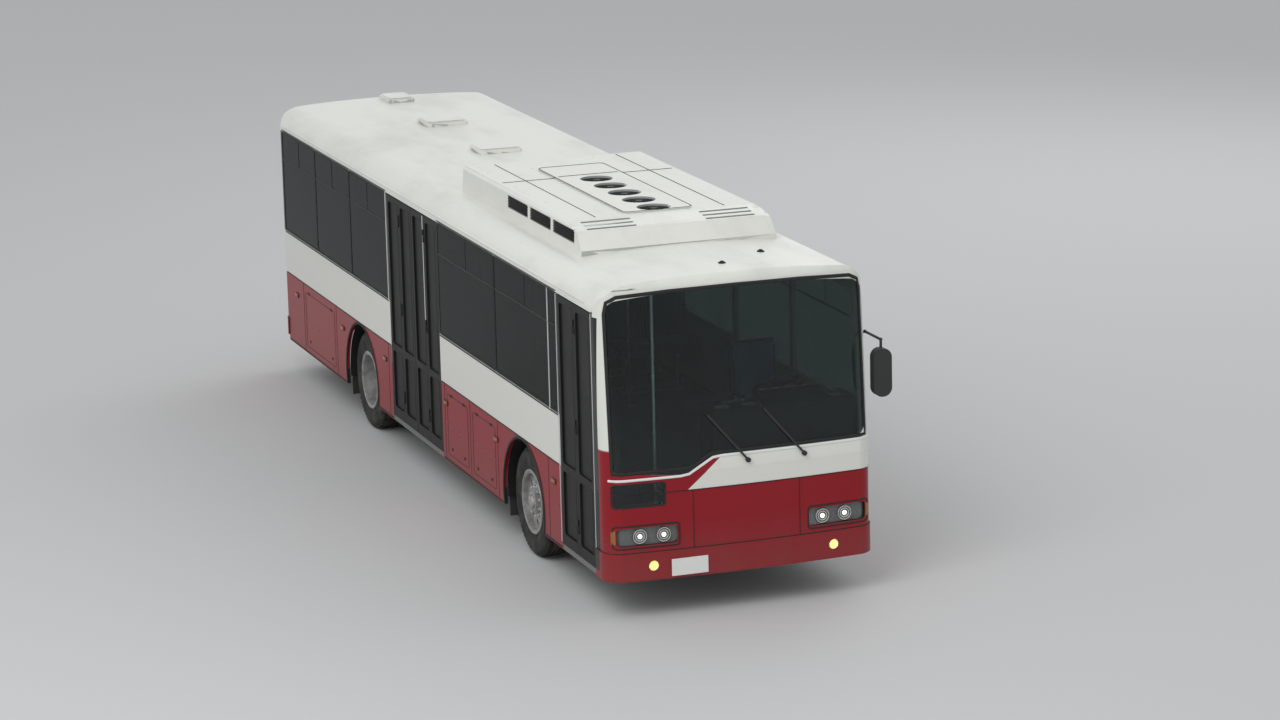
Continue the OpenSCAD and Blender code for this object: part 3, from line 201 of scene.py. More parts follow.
def coach_paint():
    """Cream above the belt line, red below it, dark in the window band, pale lining inside."""
    f = Finish("coach_paint", Coat_Roughness=0.1, Specular_IOR_Level=0.12)
    high = f.step(f.z, BELT - 0.0015, BELT + 0.0015)
    # on the front the cream ends at a slanting edge on the doors' side, and red goes up to it
    ahead = f.step(f.x, 5.17, 5.20)
    slant = f.step(f.y - (f.z - BELT) * 1.18, -0.522, -0.518)
    up_front = 1 - f.step(f.z, 1.50, 1.52)
    high = high * (1 - ahead * up_front * (1 - slant))
    colour = f.mix(high, RED, CREAM)
    side = f.step(abs(f.y), HALF_WIDTH - 0.055, HALF_WIDTH - 0.035)
    band = f.between(f.z, SILL - 0.012, HEADER + 0.012) * side * (1 - f.step(f.x, 5.12, 5.13))
    rear = f.between(f.z, 1.66, 2.64) * (1 - f.step(f.x, -5.43, -5.42)) * (1 - f.step(abs(f.y), 0.98, 0.985))
    jamb = f.between(f.x, 5.06, 5.195) * f.between(f.z, 0.42, 2.66) * (f.y < -1.0)
    dark = f.most(f.most(band, rear), jamb)
    colour = f.mix(dark, colour, BAND)
    tone = f.noise(2.6, 2, 0.5)
    colour = f.mix(tone * (0.015 + high * 0.065), colour, grey(0.6))
    colour, dust = weathered(f, colour)
    out = outward(f)
    inner = f.mix(f.step(f.z, 0.93, 0.96), grey(0.035), LINING)
    colour = f.mix(out, inner, colour)
    f.feed(Base_Color=colour, Roughness=0.24 + dust * 0.5 + (1 - out) * 0.3)
    f.feed(Coat_Weight=(1 - dark) * out * (0.06 + high * 0.14))
    f.relief(f.noise(0.9, 2, 0.4), 0.0015, 0.5)
    return f.material


def roof_paint():
    """Cream roof, greyed by rain dirt that gathers in long stains."""
    f = Finish("roof_paint", Coat_Weight=0.2, Coat_Roughness=0.2)
    stains = f.noise(0.8, 5, 0.62, (0.45, 1, 1))
    specks = f.noise(0.05, 3, 0.7)
    dirt = f.step(stains, 0.44, 0.72) * 0.26 + f.step(specks, 0.55, 0.8) * 0.08
    colour = f.mix(dirt, CREAM, shade(0.42, 0.43, 0.39))
    out = outward(f)
    inner = f.mix(f.step(f.noise(0.004, 2), 0.4, 0.6) * 0.15, LINING, grey(0.40))
    colour = f.mix(out, inner, colour)
    f.feed(Base_Color=colour, Roughness=0.38 + dirt * 0.6)
    f.relief(f.noise(0.7, 2, 0.4), 0.002, 0.5)
    return f.material


def plain_metal(name, colour, rough, metallic=1.0, grain=0.002, worn=0.15):
    """Metal or enamel with fine scratches and darker worn places."""
    f = Finish(name, Metallic=metallic)
    wear = f.noise(0.18, 4, 0.6)
    scratches = f.noise(grain, 2, 0.5, (0.08, 1, 1))
    dark = tuple(c * 0.55 for c in colour[:3]) + (1,)
    f.feed(Base_Color=f.mix(f.step(wear, 0.45, 0.75) * worn * 2, colour, dark))
    f.feed(Roughness=rough + scratches * 0.12 + wear * 0.1)
    f.relief(scratches, 0.0002, 0.4)
    return f.material


def tinted_glass(name, tint, rough=0.03, index=1.3, shine=0.4):
    """Tinted safety glass: a clear dark pane with a thin film of dust."""
    f = Finish(name, Transmission_Weight=1.0, IOR=index, Specular_IOR_Level=shine)
    film = f.step(f.noise(0.7, 4, 0.6), 0.45, 0.8)
    f.feed(Base_Color=f.mix(film * 0.04, tint, shade(0.25, 0.28, 0.26)), Roughness=rough + film * 0.06)
    return f.material


def moulded_black(name="moulded_black", base=0.028, rough=0.5, grain=0.004, shine=0.35):
    """Plastic or rubber with pores, faded in places."""
    f = Finish(name, Specular_IOR_Level=shine)
    pores = f.noise(grain, 2, 0.6)
    fade = f.noise(0.25, 3, 0.55)
    f.feed(Base_Color=f.mix(fade * 0.35, grey(base), grey(base * 2.2)), Roughness=rough + fade * 0.18)
    f.relief(pores, 0.0003, 0.5)
    return f.material


def soiled(name, clean, dirty, cloud, reach, rough, grain, depth, **fixed):
    """A clean colour under dirt in clouds; reach: where the dirt starts, where it is full, how much of it."""
    f = Finish(name, **fixed)
    dirt = f.noise(*cloud)
    colour = f.mix(f.step(dirt, *reach[:2]) * reach[2], clean, dirty)
    f.feed(Base_Color=colour, Roughness=rough[0] + dirt * rough[1])
    f.relief(f.noise(*grain), *depth)
    return f.material


def floor_vinyl():
    f = Finish("floor_vinyl", Specular_IOR_Level=0.35)
    flecks = f.step(f.cells(0.006), 0.12, 0.2)
    scuffs = f.noise(0.4, 5, 0.65)
    colour = f.mix(flecks, grey(0.5), grey(0.17))
    colour = f.mix(f.step(scuffs, 0.5, 0.8) * 0.3, colour, shade(0.12, 0.11, 0.10))
    f.feed(Base_Color=colour, Roughness=0.45 + scuffs * 0.3)
    f.relief(f.noise(0.003, 2), 0.0004, 0.5)
    return f.material


def seat_cloth(name, base, fleck):
    """Woven plush with small flecks."""
    f = Finish(name, Sheen_Weight=0.35, Sheen_Roughness=0.5)
    weave = f.waves(160.0, "X", 0.4) * f.waves(160.0, "Z", 0.4)
    dots = f.step(f.cells(0.028), 0.10, 0.16)
    rub = f.noise(0.15, 4, 0.6)
    colour = f.mix(dots, fleck, base)
    colour = f.mix(rub * 0.25, colour, grey(0.16))
    f.feed(Base_Color=f.mix(weave * 0.3, colour, grey(0.04)), Roughness=0.85 + rub * 0.1)
    f.relief(weave, 0.0008, 0.6)
    return f.material


def clear_lens(name, colour, rough=0.05, glow=None):
    """A ribbed lamp glass; glow is how strongly it shines by itself."""
    f = Finish(name, Transmission_Weight=0.6, IOR=1.5)
    ribs = f.waves(22.0, "Y")
    haze = f.noise(0.03, 3)
    f.feed(Base_Color=f.mix(haze * 0.15, colour, grey(0.5)), Roughness=rough + haze * 0.06)
    f.relief(ribs, 0.0012, 0.5)
    if glow:
        f.skin.inputs["Transmission Weight"].default_value = 0.0
        f.skin.inputs["Emission Strength"].default_value = glow
        f.feed(Emission_Color=f.mix(haze * 0.4, colour, shade(1, 0.8, 0.4)))
    return f.material


coach = coach_paint()
roof = roof_paint()
side_glass = tinted_glass("side_glass", shade(0.05, 0.07, 0.07), index=1.12, shine=0.2)
screen_glass = tinted_glass("screen_glass", shade(0.36, 0.46, 0.44), 0.02, 1.42)
black = moulded_black()
gasket = moulded_black("rubber_seal", 0.016, 0.62, 0.002)
grille_black = moulded_black("grille_black", 0.006, 0.7, 0.003)
door_paint = moulded_black("door_paint", 0.012, 0.42, 0.01, 0.22)
rubber = soiled(
    "tyre_rubber", grey(0.022), shade(0.11, 0.10, 0.09), (0.12, 4, 0.6), (0.38, 0.75, 0.55), (0.68, 0.25),
    (0.004, 3, 0.6), (0.0005, 0.5), Specular_IOR_Level=0.3,
)
wheel = soiled(
    "wheel_paint", grey(0.42), shade(0.18, 0.155, 0.13), (0.09, 4, 0.6), (0.35, 0.7, 0.6), (0.4, 0.3),
    (0.006, 3), (0.0004, 0.4), Metallic=0.55, Coat_Weight=0.2,
)
steel = soiled(
    "chassis_steel", grey(0.03), shade(0.085, 0.07, 0.055), (0.3, 5, 0.65), (0.4, 0.7, 1.0), (0.6, 0.3),
    (0.01, 4), (0.0008, 0.5), Metallic=0.3,
)
bright = plain_metal("bright_trim", grey(0.80), 0.24)
dark_metal = plain_metal("dark_wire", grey(0.035), 0.5, 0.5)
white_trim = plain_metal("white_moulding", shade(0.86, 0.87, 0.84), 0.3, 0.0, 0.01, 0.05)
stainless = plain_metal("rail_stainless", grey(0.70), 0.22)
tank = plain_metal("tank_aluminium", grey(0.5), 0.35, worn=0.3)
vinyl = floor_vinyl()
cloth = seat_cloth("seat_cloth", shade(0.07, 0.12, 0.24), shade(0.22, 0.27, 0.36))
piping_cloth = seat_cloth("piping_cloth", shade(0.02, 0.03, 0.06), shade(0.03, 0.04, 0.07))
shell_grey = moulded_black("shell_grey", 0.16, 0.45)
nosing = moulded_black("step_nosing", 0.30, 0.6)
lamp_white_soft = clear_lens("ceiling_lens", shade(0.75, 0.76, 0.74), 0.3)
mirror_glass = plain_metal("mirror_glass", grey(0.85), 0.03, 1.0, 0.05, 0.02)
lamp_clear = clear_lens("lamp_clear", shade(0.30, 0.31, 0.31))
lamp_white = clear_lens("lamp_white", shade(1.0, 0.98, 0.92), 0.1, 1.1)
lamp_lit = clear_lens("lamp_lit", shade(1.0, 0.62, 0.08), 0.1, 2.2)
lamp_amber = clear_lens("lamp_amber", shade(0.75, 0.30, 0.04), 0.1)
lamp_red = clear_lens("lamp_red", shade(0.45, 0.015, 0.01), 0.12)
plate = plain_metal("plate_blank", shade(0.82, 0.82, 0.78), 0.4, 0.0, 0.01, 0.1)

FINISHES = {
    coach: "skirts_right skirts_left wall_right wall_left front_panel rear_panel front_bumper rear_bumper"
    " engine_door",
    roof: "roof ac_pod roof_vents",
    screen_glass: "windscreen",
    side_glass: "side_windows_right side_windows_left rear_window",
    black: "side_mirror wipers dashboard steering_wheel",
    grille_black: "ac_fans",
    steel: "chassis_frame cross_beams engine propshaft front_axle rear_axle springs knuckle_left knuckle_right",
    tank: "tanks",
    vinyl: "floor_deck",
    cloth: "driver_seat passenger_seats",
    stainless: "grab_rails",
    door_paint: " ".join(LEAVES),
    rubber: " ".join(row[0] for row in WHEELS),
    wheel: "front_rim_left front_rim_right rear_rims_left rear_rims_right",
    lamp_clear: "front_lamps",
    lamp_red: "tail_lamps",
    plate: "number_plates",
}
for finish, names in FINISHES.items():
    for name in names.split():
        materials = nodes[name].data.materials
        count = max(1, len(materials))
        materials.clear()
        for _ in range(count):
            materials.append(finish)

# ---- mesh work

UP, DOWN, AHEAD, BACK = (0, 0, 1), (0, 0, -1), (1, 0, 0), (-1, 0, 0)


def turns(count, shift=0.0):
    """Angles spaced evenly round a circle."""
    return [2 * math.pi * (i + shift) / count for i in range(count)]


def on_wheel(axle, y, r, a):
    """A point at radius r and angle a round a wheel's axis."""
    return axle + r * math.cos(a), y, TYRE + r * math.sin(a)


def faced(axis):
    """The turn that points Z along an axis."""
    return Vector(axis).to_track_quat("Z", "Y").to_matrix().to_4x4()


def joined(bm, rows, closed=False):
    """Quads between rings of corners; closed adds the last ring to the first."""
    for a, b in zip(rows, rows[1:] + rows[:1] if closed else rows[1:]):
        for j in range(len(a)):
            k = (j + 1) % len(a)
            bm.faces.new((a[j], a[k], b[k], b[j]))


def meshed(bm, name):
    """Turns a bmesh into a mesh and frees it."""
    mesh = bpy.data.meshes.new(name)
    bm.to_mesh(mesh)
    bm.free()
    return mesh


class Maker:
    """Gathers the bars, discs and tubes of one finish on one body into one mesh."""

    def __init__(self, name, finish, body="coach"):
        self.name, self.finish, self.body = name, finish, body
        self.bm = bmesh.new()

    def take(self, part, matrix):
        """Adds a part, moved to its place."""
        part.transform(matrix)
        lump = meshed(part, "lump")
        self.bm.from_mesh(lump)
        bpy.data.meshes.remove(lump)

    def block(self, low, high, edge=0.003, turn=None):
        """Bevelled block between two corners; turn is a matrix about its middle."""
        low, high = Vector(low), Vector(high)
        part = bmesh.new()
        bmesh.ops.create_cube(part, size=1)
        size = high - low
        bmesh.ops.scale(part, vec=size, verts=part.verts)
        edge = min(edge, min(size) * 0.45)
        bmesh.ops.bevel(part, geom=part.edges, offset=edge, segments=2, affect="EDGES", profile=0.6)
        self.take(part, Matrix.Translation((low + high) / 2) @ (turn or Matrix()))

    def disc(self, centre, axis, radius, height, edge=0.002, sides=32, top=None):
        """Short round body from centre along axis, with a rounded rim."""
        part = bmesh.new()
        ends = {"radius1": radius, "radius2": top or radius}
        bmesh.ops.create_cone(part, cap_ends=True, segments=sides, depth=height, **ends)
        rims = [e for e in part.edges if len(e.link_faces) == 2 and max(len(f.verts) for f in e.link_faces) > 4]
        bmesh.ops.bevel(part, geom=rims, offset=min(edge, height * 0.4), segments=2, affect="EDGES", profile=0.6)
        middle = Vector(centre) + Vector(axis).normalized() * height / 2
        self.take(part, Matrix.Translation(middle) @ faced(axis))

    def ring(self, centre, axis, radius, thick, steps=48, sides=10, squash=1.0):
        """Torus of a bead of radius thick."""
        part = bmesh.new()
        rows = []
        for a in turns(steps):
            row = []
            for b in turns(sides):
                r = radius + thick * math.cos(b)
                row.append(part.verts.new((r * math.cos(a), r * math.sin(a), thick * squash * math.sin(b))))
            rows.append(row)
        joined(part, rows, closed=True)
        self.take(part, Matrix.Translation(centre) @ faced(axis))

    def sweep(self, points, wide, high, closed=False, normal=None, sides=8):
        """Bead along points: wide across, high along the surface normal (points may carry their own)."""
        points = [Vector(p) for p in points]
        n = len(points)
        rows = []
        for i, p in enumerate(points):
            before = points[i - 1] if i or closed else p
            after = points[(i + 1) % n] if i < n - 1 or closed else p
            along = (after - before).normalized()
            up = Vector(normal[i] if isinstance(normal, list) else normal or UP)
            across = along.cross(up).normalized()
            up = across.cross(along).normalized()
            corners = (p + across * wide / 2 * math.cos(b) + up * high / 2 * math.sin(b) for b in turns(sides, 0.5))
            rows.append([self.bm.verts.new(c) for c in corners])
        joined(self.bm, rows, closed)
        if not closed:
            self.bm.faces.new(rows[0])
            self.bm.faces.new(rows[-1][::-1])

    def tube(self, points, radius, closed=False, sides=12):
        points = [Vector(p) for p in points]
        first = (points[1] - points[0]).normalized()
        self.sweep(points, 2 * radius, 2 * radius, closed, UP if abs(first.z) < 0.9 else AHEAD, sides)

    def done(self):
        finished(self.name, self.bm, self.finish, self.body)


def done(*makers):
    for maker in makers:
        maker.done()


def finished(name, bm, finish, body="coach", smooth=35, outwards=True):
    """Puts a bmesh in the scene as a piece that rides on a body."""
    if outwards:
        bmesh.ops.recalc_face_normals(bm, faces=bm.faces)
    mesh = meshed(bm, name)
    piece = bpy.data.objects.new(name, mesh)
    bpy.context.scene.collection.objects.link(piece)
    mesh.materials.clear()
    mesh.materials.append(finish)
    mesh.shade_smooth()
    mesh.set_sharp_from_angle(angle=math.radians(smooth))
    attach(piece, body)
    return piece


def rounded(low, high, radius, per_corner=6):
    """Outline of a rectangle with round corners, between two corners in a plane."""
    (a0, b0), (a1, b1) = low, high
    out = []
    for cx, cy, start in ((a1, b1, 0), (a0, b1, 90), (a0, b0, 180), (a1, b0, 270)):
        sx, sy = (1 if cx == a1 else -1), (1 if cy == b1 else -1)
        for i in range(per_corner + 1):
            t = math.radians(start + 90 * i / per_corner)
            out.append((cx - sx * radius + radius * math.cos(t), cy - sy * radius + radius * math.sin(t)))
    return out


class Skin:
    """The outside of some nodes, to lay trim on: casts points along a direction until they meet it."""

    def __init__(self, names):
        verts, faces = [], []
        for name in names.split():
            mesh = nodes[name].data
            start = len(verts)
            verts += [tuple(v.co) for v in mesh.vertices]
            faces += [[start + i for i in p.vertices] for p in mesh.polygons]
        self.tree = BVHTree.FromPolygons(verts, faces)

    def lay(self, points, direction, lift=0.0):
        """Points on the surface, lifted off it, with the surface's normals there."""
        direction = Vector(direction)
        out, normals = [], []
        for p in points:
            hit, normal, _, _ = self.tree.ray_cast(Vector(p) - direction * 3, direction)
            if hit is None:
                continue
            if normal.dot(direction) > 0:
                normal = -normal
            out.append(hit + normal * lift)
            normals.append(normal)
        return out, normals

    def bead(self, maker, points, direction, wide, high, closed=False, lift=0.001):
        """A bead along points laid on the surface."""
        spots, normals = self.lay(points, direction, lift)
        if len(spots) > 1:
            maker.sweep(spots, wide, high, closed, normals)


def even(points, step, closed):
    """The same line with points no further apart than step."""
    out = []
    ring = points + points[:1] if closed else points
    for a, b in zip(ring, ring[1:]):
        n = max(1, round(math.dist(a, b) / step))
        out += [tuple(p + (q - p) * i / n for p, q in zip(a, b)) for i in range(n)]
    return out if closed else out + [points[-1]]


def solids_of(bm):
    """The separate solids of a merged mesh, each as a list of faces."""
    left, out = set(bm.faces), []
    while left:
        heap = [left.pop()]
        found = list(heap)
        while heap:
            for e in heap.pop().edges:
                for g in e.link_faces:
                    if g in left:
                        left.discard(g)
                        heap.append(g)
                        found.append(g)
        out.append(found)
    return out


def extent(faces):
    """Lowest and highest value on each axis of some faces."""
    spots = [v.co for f in faces for v in f.verts]
    return [(min(s[i] for s in spots), max(s[i] for s in spots)) for i in range(3)]


def merged(node):
    """A node's mesh with the corners of its facets joined."""
    bm = bmesh.new()
    bm.from_mesh(nodes[node].data)
    bmesh.ops.remove_doubles(bm, verts=bm.verts, dist=2e-6)
    return bm


def node_solids(node):
    """The box of each separate solid of a node."""
    bm = merged(node)
    boxes = [extent(faces) for faces in solids_of(bm)]
    bm.free()
    return boxes


def redressed(node, finish, body="coach", pane=None):
    """A merged copy of a node, shaded smooth, in place of it; pane is the finish of its thin solids."""
    bm = merged(node)
    for faces in solids_of(bm) if pane else ():
        y0, y1 = extent(faces)[1]
        if y1 - y0 < PANE_THICK:
            for f in faces:
                f.material_index = 1
    piece = finished(f"dressed_{node}", bm, finish, body, smooth=28, outwards=False)
    if pane:
        piece.data.materials.append(pane)
    even_out = piece.modifiers.new("weighted", "WEIGHTED_NORMAL")
    even_out.keep_sharp, even_out.weight = True, 80
    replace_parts(piece, node)


# ---- sides: rubber, mouldings, gutters, seams, flaps, arches, markers, doors


def side_bead(maker, side, line, wide, high, closed=False, lift=0.001):
    """A bead along a line of (x, z) on a side wall; side is 1 on the left and -1 on the right."""
    maker.sweep([(x, side * (HALF_WIDTH + lift), z) for x, z in line], wide, high, closed, (0, side, 0))


def side_block(maker, side, xs, ys, zs, edge=0.003, turn=None):
    """A block between two values on each axis; ys are measured outwards from the coach's middle."""
    low, high = sorted(side * y for y in ys)
    maker.block((xs[0], low, zs[0]), (xs[1], high, zs[1]), edge, turn)


def pane_gaskets(node, side):
    """Rubber round each pane, and the bar under its top flap."""
    seals, bars = Maker(f"seals_{node}", gasket), Maker(f"flap_bars_{node}", dark_metal)
    for (x0, x1), _, (z0, z1) in node_solids(node):
        loop = rounded((x0 - 0.004, z0 - 0.004), (x1 + 0.004, z1 + 0.004), 0.045)
        side_bead(seals, side, loop, 0.018, 0.008, True)
        if x1 - x0 > 0.55:
            side_bead(bars, side, [(x0 + 0.01, z1 - 0.30), (x1 - 0.01, z1 - 0.30)], 0.018, 0.008)
            middle = (x0 + x1) / 2
            side_bead(bars, side, [(middle, z1 - 0.29), (middle, z1 - 0.01)], 0.014, 0.007)
    done(seals, bars)


def side_trim():
    """Rubber along the belt, window band and skirt, bright trim at the doorways, gutters."""
    rails, seals, gutter = Maker("side_mouldings", bright), Maker("side_seals", gasket), Maker("gutters", roof)
    for side, runs in ((1, ((TRIM_REAR, TRIM_FRONT),)), (-1, ((TRIM_REAR, -1.22), (0.54, 4.14)))):
        for x0, x1 in runs:
            for z, wide, high in ((BELT, 0.012, 0.008), (SILL - 0.024, 0.014, 0.012), (HEADER + 0.014, 0.010, 0.008)):
                side_bead(seals, side, [(x0, z), (x1, z)], wide, high)
    for side in (-1, 1):
        gaps = [(axle - ARCH, axle + ARCH) for axle in (REAR_AXLE, FRONT_AXLE)]
        if side < 0:
            gaps = [gaps[0], (-1.24, 0.56), gaps[1]]
        starts = [TRIM_REAR] + [gap[1] for gap in gaps]
        for x0, x1 in zip(starts, [gap[0] for gap in gaps] + [TRIM_FRONT if side > 0 else 4.13]):
            side_bead(seals, side, [(x0, SKIRT + 0.015), (x1, SKIRT + 0.015)], 0.016, 0.010)
    for x in (-1.225, 3.905):
        side_bead(rails, -1, [(x, SILL - 0.02), (x, HEADER)], 0.026, 0.012)
    for x in (4.142, 5.085):
        side_bead(rails, -1, [(x, 0.42), (x, 2.68)], 0.012, 0.010)
    for side in (-1, 1):
        line = [(x, side * 1.3, 2.745) for x in (-5.2, -3, 0, 3, 4.9)]
        body_skin.bead(gutter, line, (0, -side, 0), 0.020, 0.014, False, 0.004)
    done(gutter, rails, seals)


def skirt_flaps():
    """Seams of the skirt panels, luggage and service flaps with their locks and hinges."""
    seams, locks = Maker("skirt_seams", gasket), Maker("flap_locks", dark_metal)
    for side in (-1, 1):
        for x in (-4.62, -3.30, -1.32, 0.62, 1.44, 2.30, 3.80) + ((4.66,) if side > 0 else ()):
            side_bead(seams, side, [(x, SKIRT + 0.03), (x, BELT - 0.01)], 0.006, 0.006, lift=-0.0005)
        flaps = ((-4.54, -3.38), (0.70, 1.36), (1.52, 2.22)) + (((-1.24, -0.34), (-0.26, 0.54)) if side > 0 else ())
        for x0, x1 in flaps:
            side_bead(seams, side, rounded((x0, 0.43), (x1, 1.03), 0.035), 0.007, 0.006, True, -0.0005)
            for x in (x0 + 0.13, x1 - 0.13):
                at = (x, side * (HALF_WIDTH - 0.001), 0.50)
                locks.disc(at, (0, side, 0), 0.016, 0.005)
                locks.disc(at, (0, side, 0), 0.007, 0.009, 0.002, 6)
                ys = (HALF_WIDTH - 0.002, HALF_WIDTH + 0.007)
                side_block(locks, side, (x - 0.035, x + 0.035), ys, (1.022, 1.040))
    done(seams, locks)


def arches():
    """Rubber lips round the wheel arches, mud flaps with ribs behind the wheels."""
    lips, guards = Maker("arch_lips", gasket), Maker("mud_flaps", black)
    low = math.asin((TYRE - SKIRT - 0.01) / ARCH)
    for axle in (FRONT_AXLE, REAR_AXLE):
        arc = [on_wheel(axle, 0, ARCH, -low + (math.pi + 2 * low) * i / 40) for i in range(41)]
        for side in (-1, 1):
            side_bead(lips, side, [(x, z) for x, _, z in arc], 0.030, 0.016)
            side_block(guards, side, (axle - 0.640, axle - 0.632), (0.93, 1.18), (0.22, 0.70))
            for k in range(3):
                y = min(side * 0.93, side * 1.18) + 0.06 + 0.065 * k
                guards.block((axle - 0.631, y, 0.26), (axle - 0.627, y + 0.012, 0.60), 0.0015)
    done(lips, guards)


def side_markers():
    """Amber lamps along the sides, each in a black holder."""
    lenses, holders = Maker("side_markers", lamp_amber), Maker("marker_holders", black)
    z = 0.930
    for side in (-1, 1):
        for x in (-4.9, -3.05, -1.45, 0.66, 2.26, 3.95):
            for maker, half, rise, out in (
                (holders, 0.055, 0.025, (HALF_WIDTH - 0.001, HALF_WIDTH + 0.008)),
                (lenses, 0.045, 0.016, (HALF_WIDTH + 0.004, HALF_WIDTH + 0.014)),
            ):
                side_block(maker, side, (x - half, x + half), out, (z - rise, z + rise), 0.004)
    done(lenses, holders)


def doors():
    """Leaves with glass of their own, rubber round the panes, handles inside."""
    grip = ((-1.205, 1.62), (-1.165, 1.63), (-1.160, 1.68), (-1.160, 2.22), (-1.165, 2.27), (-1.205, 2.28))
    for leaf, (x0, x1) in LEAVES.items():
        redressed(leaf, door_paint, leaf, side_glass)
        lips, bars = Maker(f"edges_{leaf}", gasket, leaf), Maker(f"handles_{leaf}", stainless, leaf)
        for z0, z1 in LEAF_PANES:
            side_bead(lips, -1, rounded((x0 + 0.055, z0), (x1 - 0.055, z1), 0.035), 0.014, 0.008, True, -0.001)
        if leaf == "mid_door_front_far_leaf":
            strip = Maker("door_strip", bright, leaf)
            side_bead(strip, -1, [(x1 - 0.030, 1.60), (x1 - 0.030, 2.67)], 0.022, 0.012, lift=0)
            strip.done()
        bars.tube([((x0 + x1) / 2 - 0.10, y, z) for y, z in grip], 0.011)
        done(lips, bars)


# ---- front: screen surround, lamps, wipers, mirror

SCREEN_EDGE = [
    (1.18, 1.425), (1.18, 2.70), (1.16, 2.80), (1.08, 2.842), (0.60, 2.862), (0.0, 2.868), (-0.60, 2.862),
    (-1.08, 2.842), (-1.16, 2.80), (-1.18, 2.70), (-1.18, 1.31), (-0.50, 1.31), (-0.46, 1.322), (-0.32, 1.408),
    (-0.28, 1.425),
]
MOULDING = [(1.215, 1.395), (-0.20, 1.395), (-0.28, 1.385), (-0.50, 1.262), (-0.58, 1.252), (-1.21, 1.252)]
LAMP_Z = 0.745  # height of the headlamps' middle


def front_bead(maker, line, wide, high, closed=False, step=0.06):
    """A bead along a line of (y, z) on the front."""
    nose.bead(maker, [(6, y, z) for y, z in even(line, step, closed)], BACK, wide, high, closed, 0.002)


def front_trim():
    """Seal and moulding of the windscreen, seams of the front's panels, trim on the pillar."""
    seal, moulding = Maker("screen_gasket", gasket), Maker("screen_moulding", white_trim)
    seam, edge = Maker("front_seams", gasket), Maker("pillar_trims", bright)
    front_bead(seal, SCREEN_EDGE, 0.034, 0.014, True)
    front_bead(seal, rounded((-1.19, 1.012), (-0.722, 1.213), 0.03), 0.020, 0.010, True)
    front_bead(moulding, MOULDING, 0.024, 0.012)
    for z in (0.602, BELT):
        front_bead(seam, [(1.235, z), (-1.235, z)], 0.008, 0.006)
    for y in (-0.47, 0.52):
        front_bead(seam, [(y, 0.61), (y, 1.11)], 0.006, 0.006)
    for y0, y1 in ((-1.19, -0.60), (0.60, 1.19)):
        front_bead(seam, rounded((y0, 0.645), (y1, 0.845), 0.03), 0.012, 0.010, True, 0.05)
    front_bead(edge, [(1.212, 1.44), (1.212, 2.60), (1.20, 2.74)], 0.016, 0.012)
    done(seal, moulding, seam, edge)


def lamps():
    """Reflector bowls and bright bulbs in the lamp recesses, corner lenses, the two lit amber lamps."""
    bowls, glow = Maker("lamp_bowls", bright), Maker("lamp_glow", lamp_white)
    corner, fog = Maker("corner_lenses", lamp_amber), Maker("amber_lamps", lamp_lit)
    rims = Maker("amber_rims", bright)
    for side in (-1, 1):
        for y in (0.74, 0.955):
            (glass,), _ = lens.lay([(6, side * y, LAMP_Z)], BACK)
            bowls.ring(glass + Vector((0.004, 0, 0)), AHEAD, 0.060, 0.003, 48, 8)
            bowls.ring(glass + Vector((0.002, 0, 0)), AHEAD, 0.040, 0.003, 40, 8)
            glow.disc(glass - Vector((0.002, 0, 0)), AHEAD, 0.021, 0.010, 0.004)
        line = [(6, side * (1.10 + 0.011 * i), LAMP_Z) for i in range(10)]
        nose.bead(corner, line, BACK, 0.13, 0.014, False, 0.002)
    for y in (-0.84, 0.84):
        (spot,), (normal,) = lens.lay([(6, y, 0.477)], BACK, 0.001)
        fog.disc(spot, normal, 0.036, 0.016, 0.007)
        rims.ring(spot, normal, 0.044, 0.006, 40, 8)
    done(bowls, glow, corner, fog, rims)


def wiper_parts():
    """Caps, springs and rubber blades on the wiper arms."""
    parts, blades, tilt = Maker("wiper_caps", black), Maker("wiper_blades", gasket), math.radians(40)
    lean = Vector((-0.0805 * math.cos(tilt), -math.sin(tilt), math.cos(tilt)))
    for y in (0.57, 0.04):
        start = Vector((5.436, y, 1.335))
        parts.disc((5.43, y, 1.335), AHEAD, 0.020, 0.030, 0.008, 28, 0.015)
        parts.tube([start + lean * t + Vector((0.012, 0, 0)) for t in (0.04, 0.16)], 0.007)
        line = [start + lean * t - Vector((0.006, 0, 0)) for t in (0.30, 0.45, 0.60, 0.66)]
        blades.sweep(line, 0.010, 0.016, False, (1, 0, 0.08))
    done(parts, blades)


def mirror_parts():
    """The mirror's rim and its glass."""
    shell, face = Maker("mirror_parts", black), Maker("mirror_face", mirror_glass)
    _, (x, y_out, _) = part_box("side_mirror")
    y_mid = y_out - 0.085
    rim = rounded((y_mid - 0.070, 1.800), (y_mid + 0.070, 2.200), 0.068, 8)
    shell.sweep([(x - 0.088, y, z) for y, z in rim], 0.010, 0.012, True, BACK)
    pane = rounded((y_mid - 0.066, 1.804), (y_mid + 0.066, 2.196), 0.064, 8)
    face.bm.faces.new([face.bm.verts.new((x - 0.0915, y, z)) for y, z in pane])
    done(shell, face)


# ---- roof: cooling unit's fans, louvres and seams, hatches, rivets


FANS = [1.700 + 0.395 * i for i in range(5)]  # the fans' places along the cooling unit
FAN_TOP, FAN_RADIUS = 3.176, 0.15


def roof_bead(maker, line, wide, high, closed=False):
    """A bead along a line of (x, y) on the cooling unit's cover."""
    pod_skin.bead(maker, [(x, y, 4) for x, y in even(line, 0.08, closed)], DOWN, wide, high, closed)


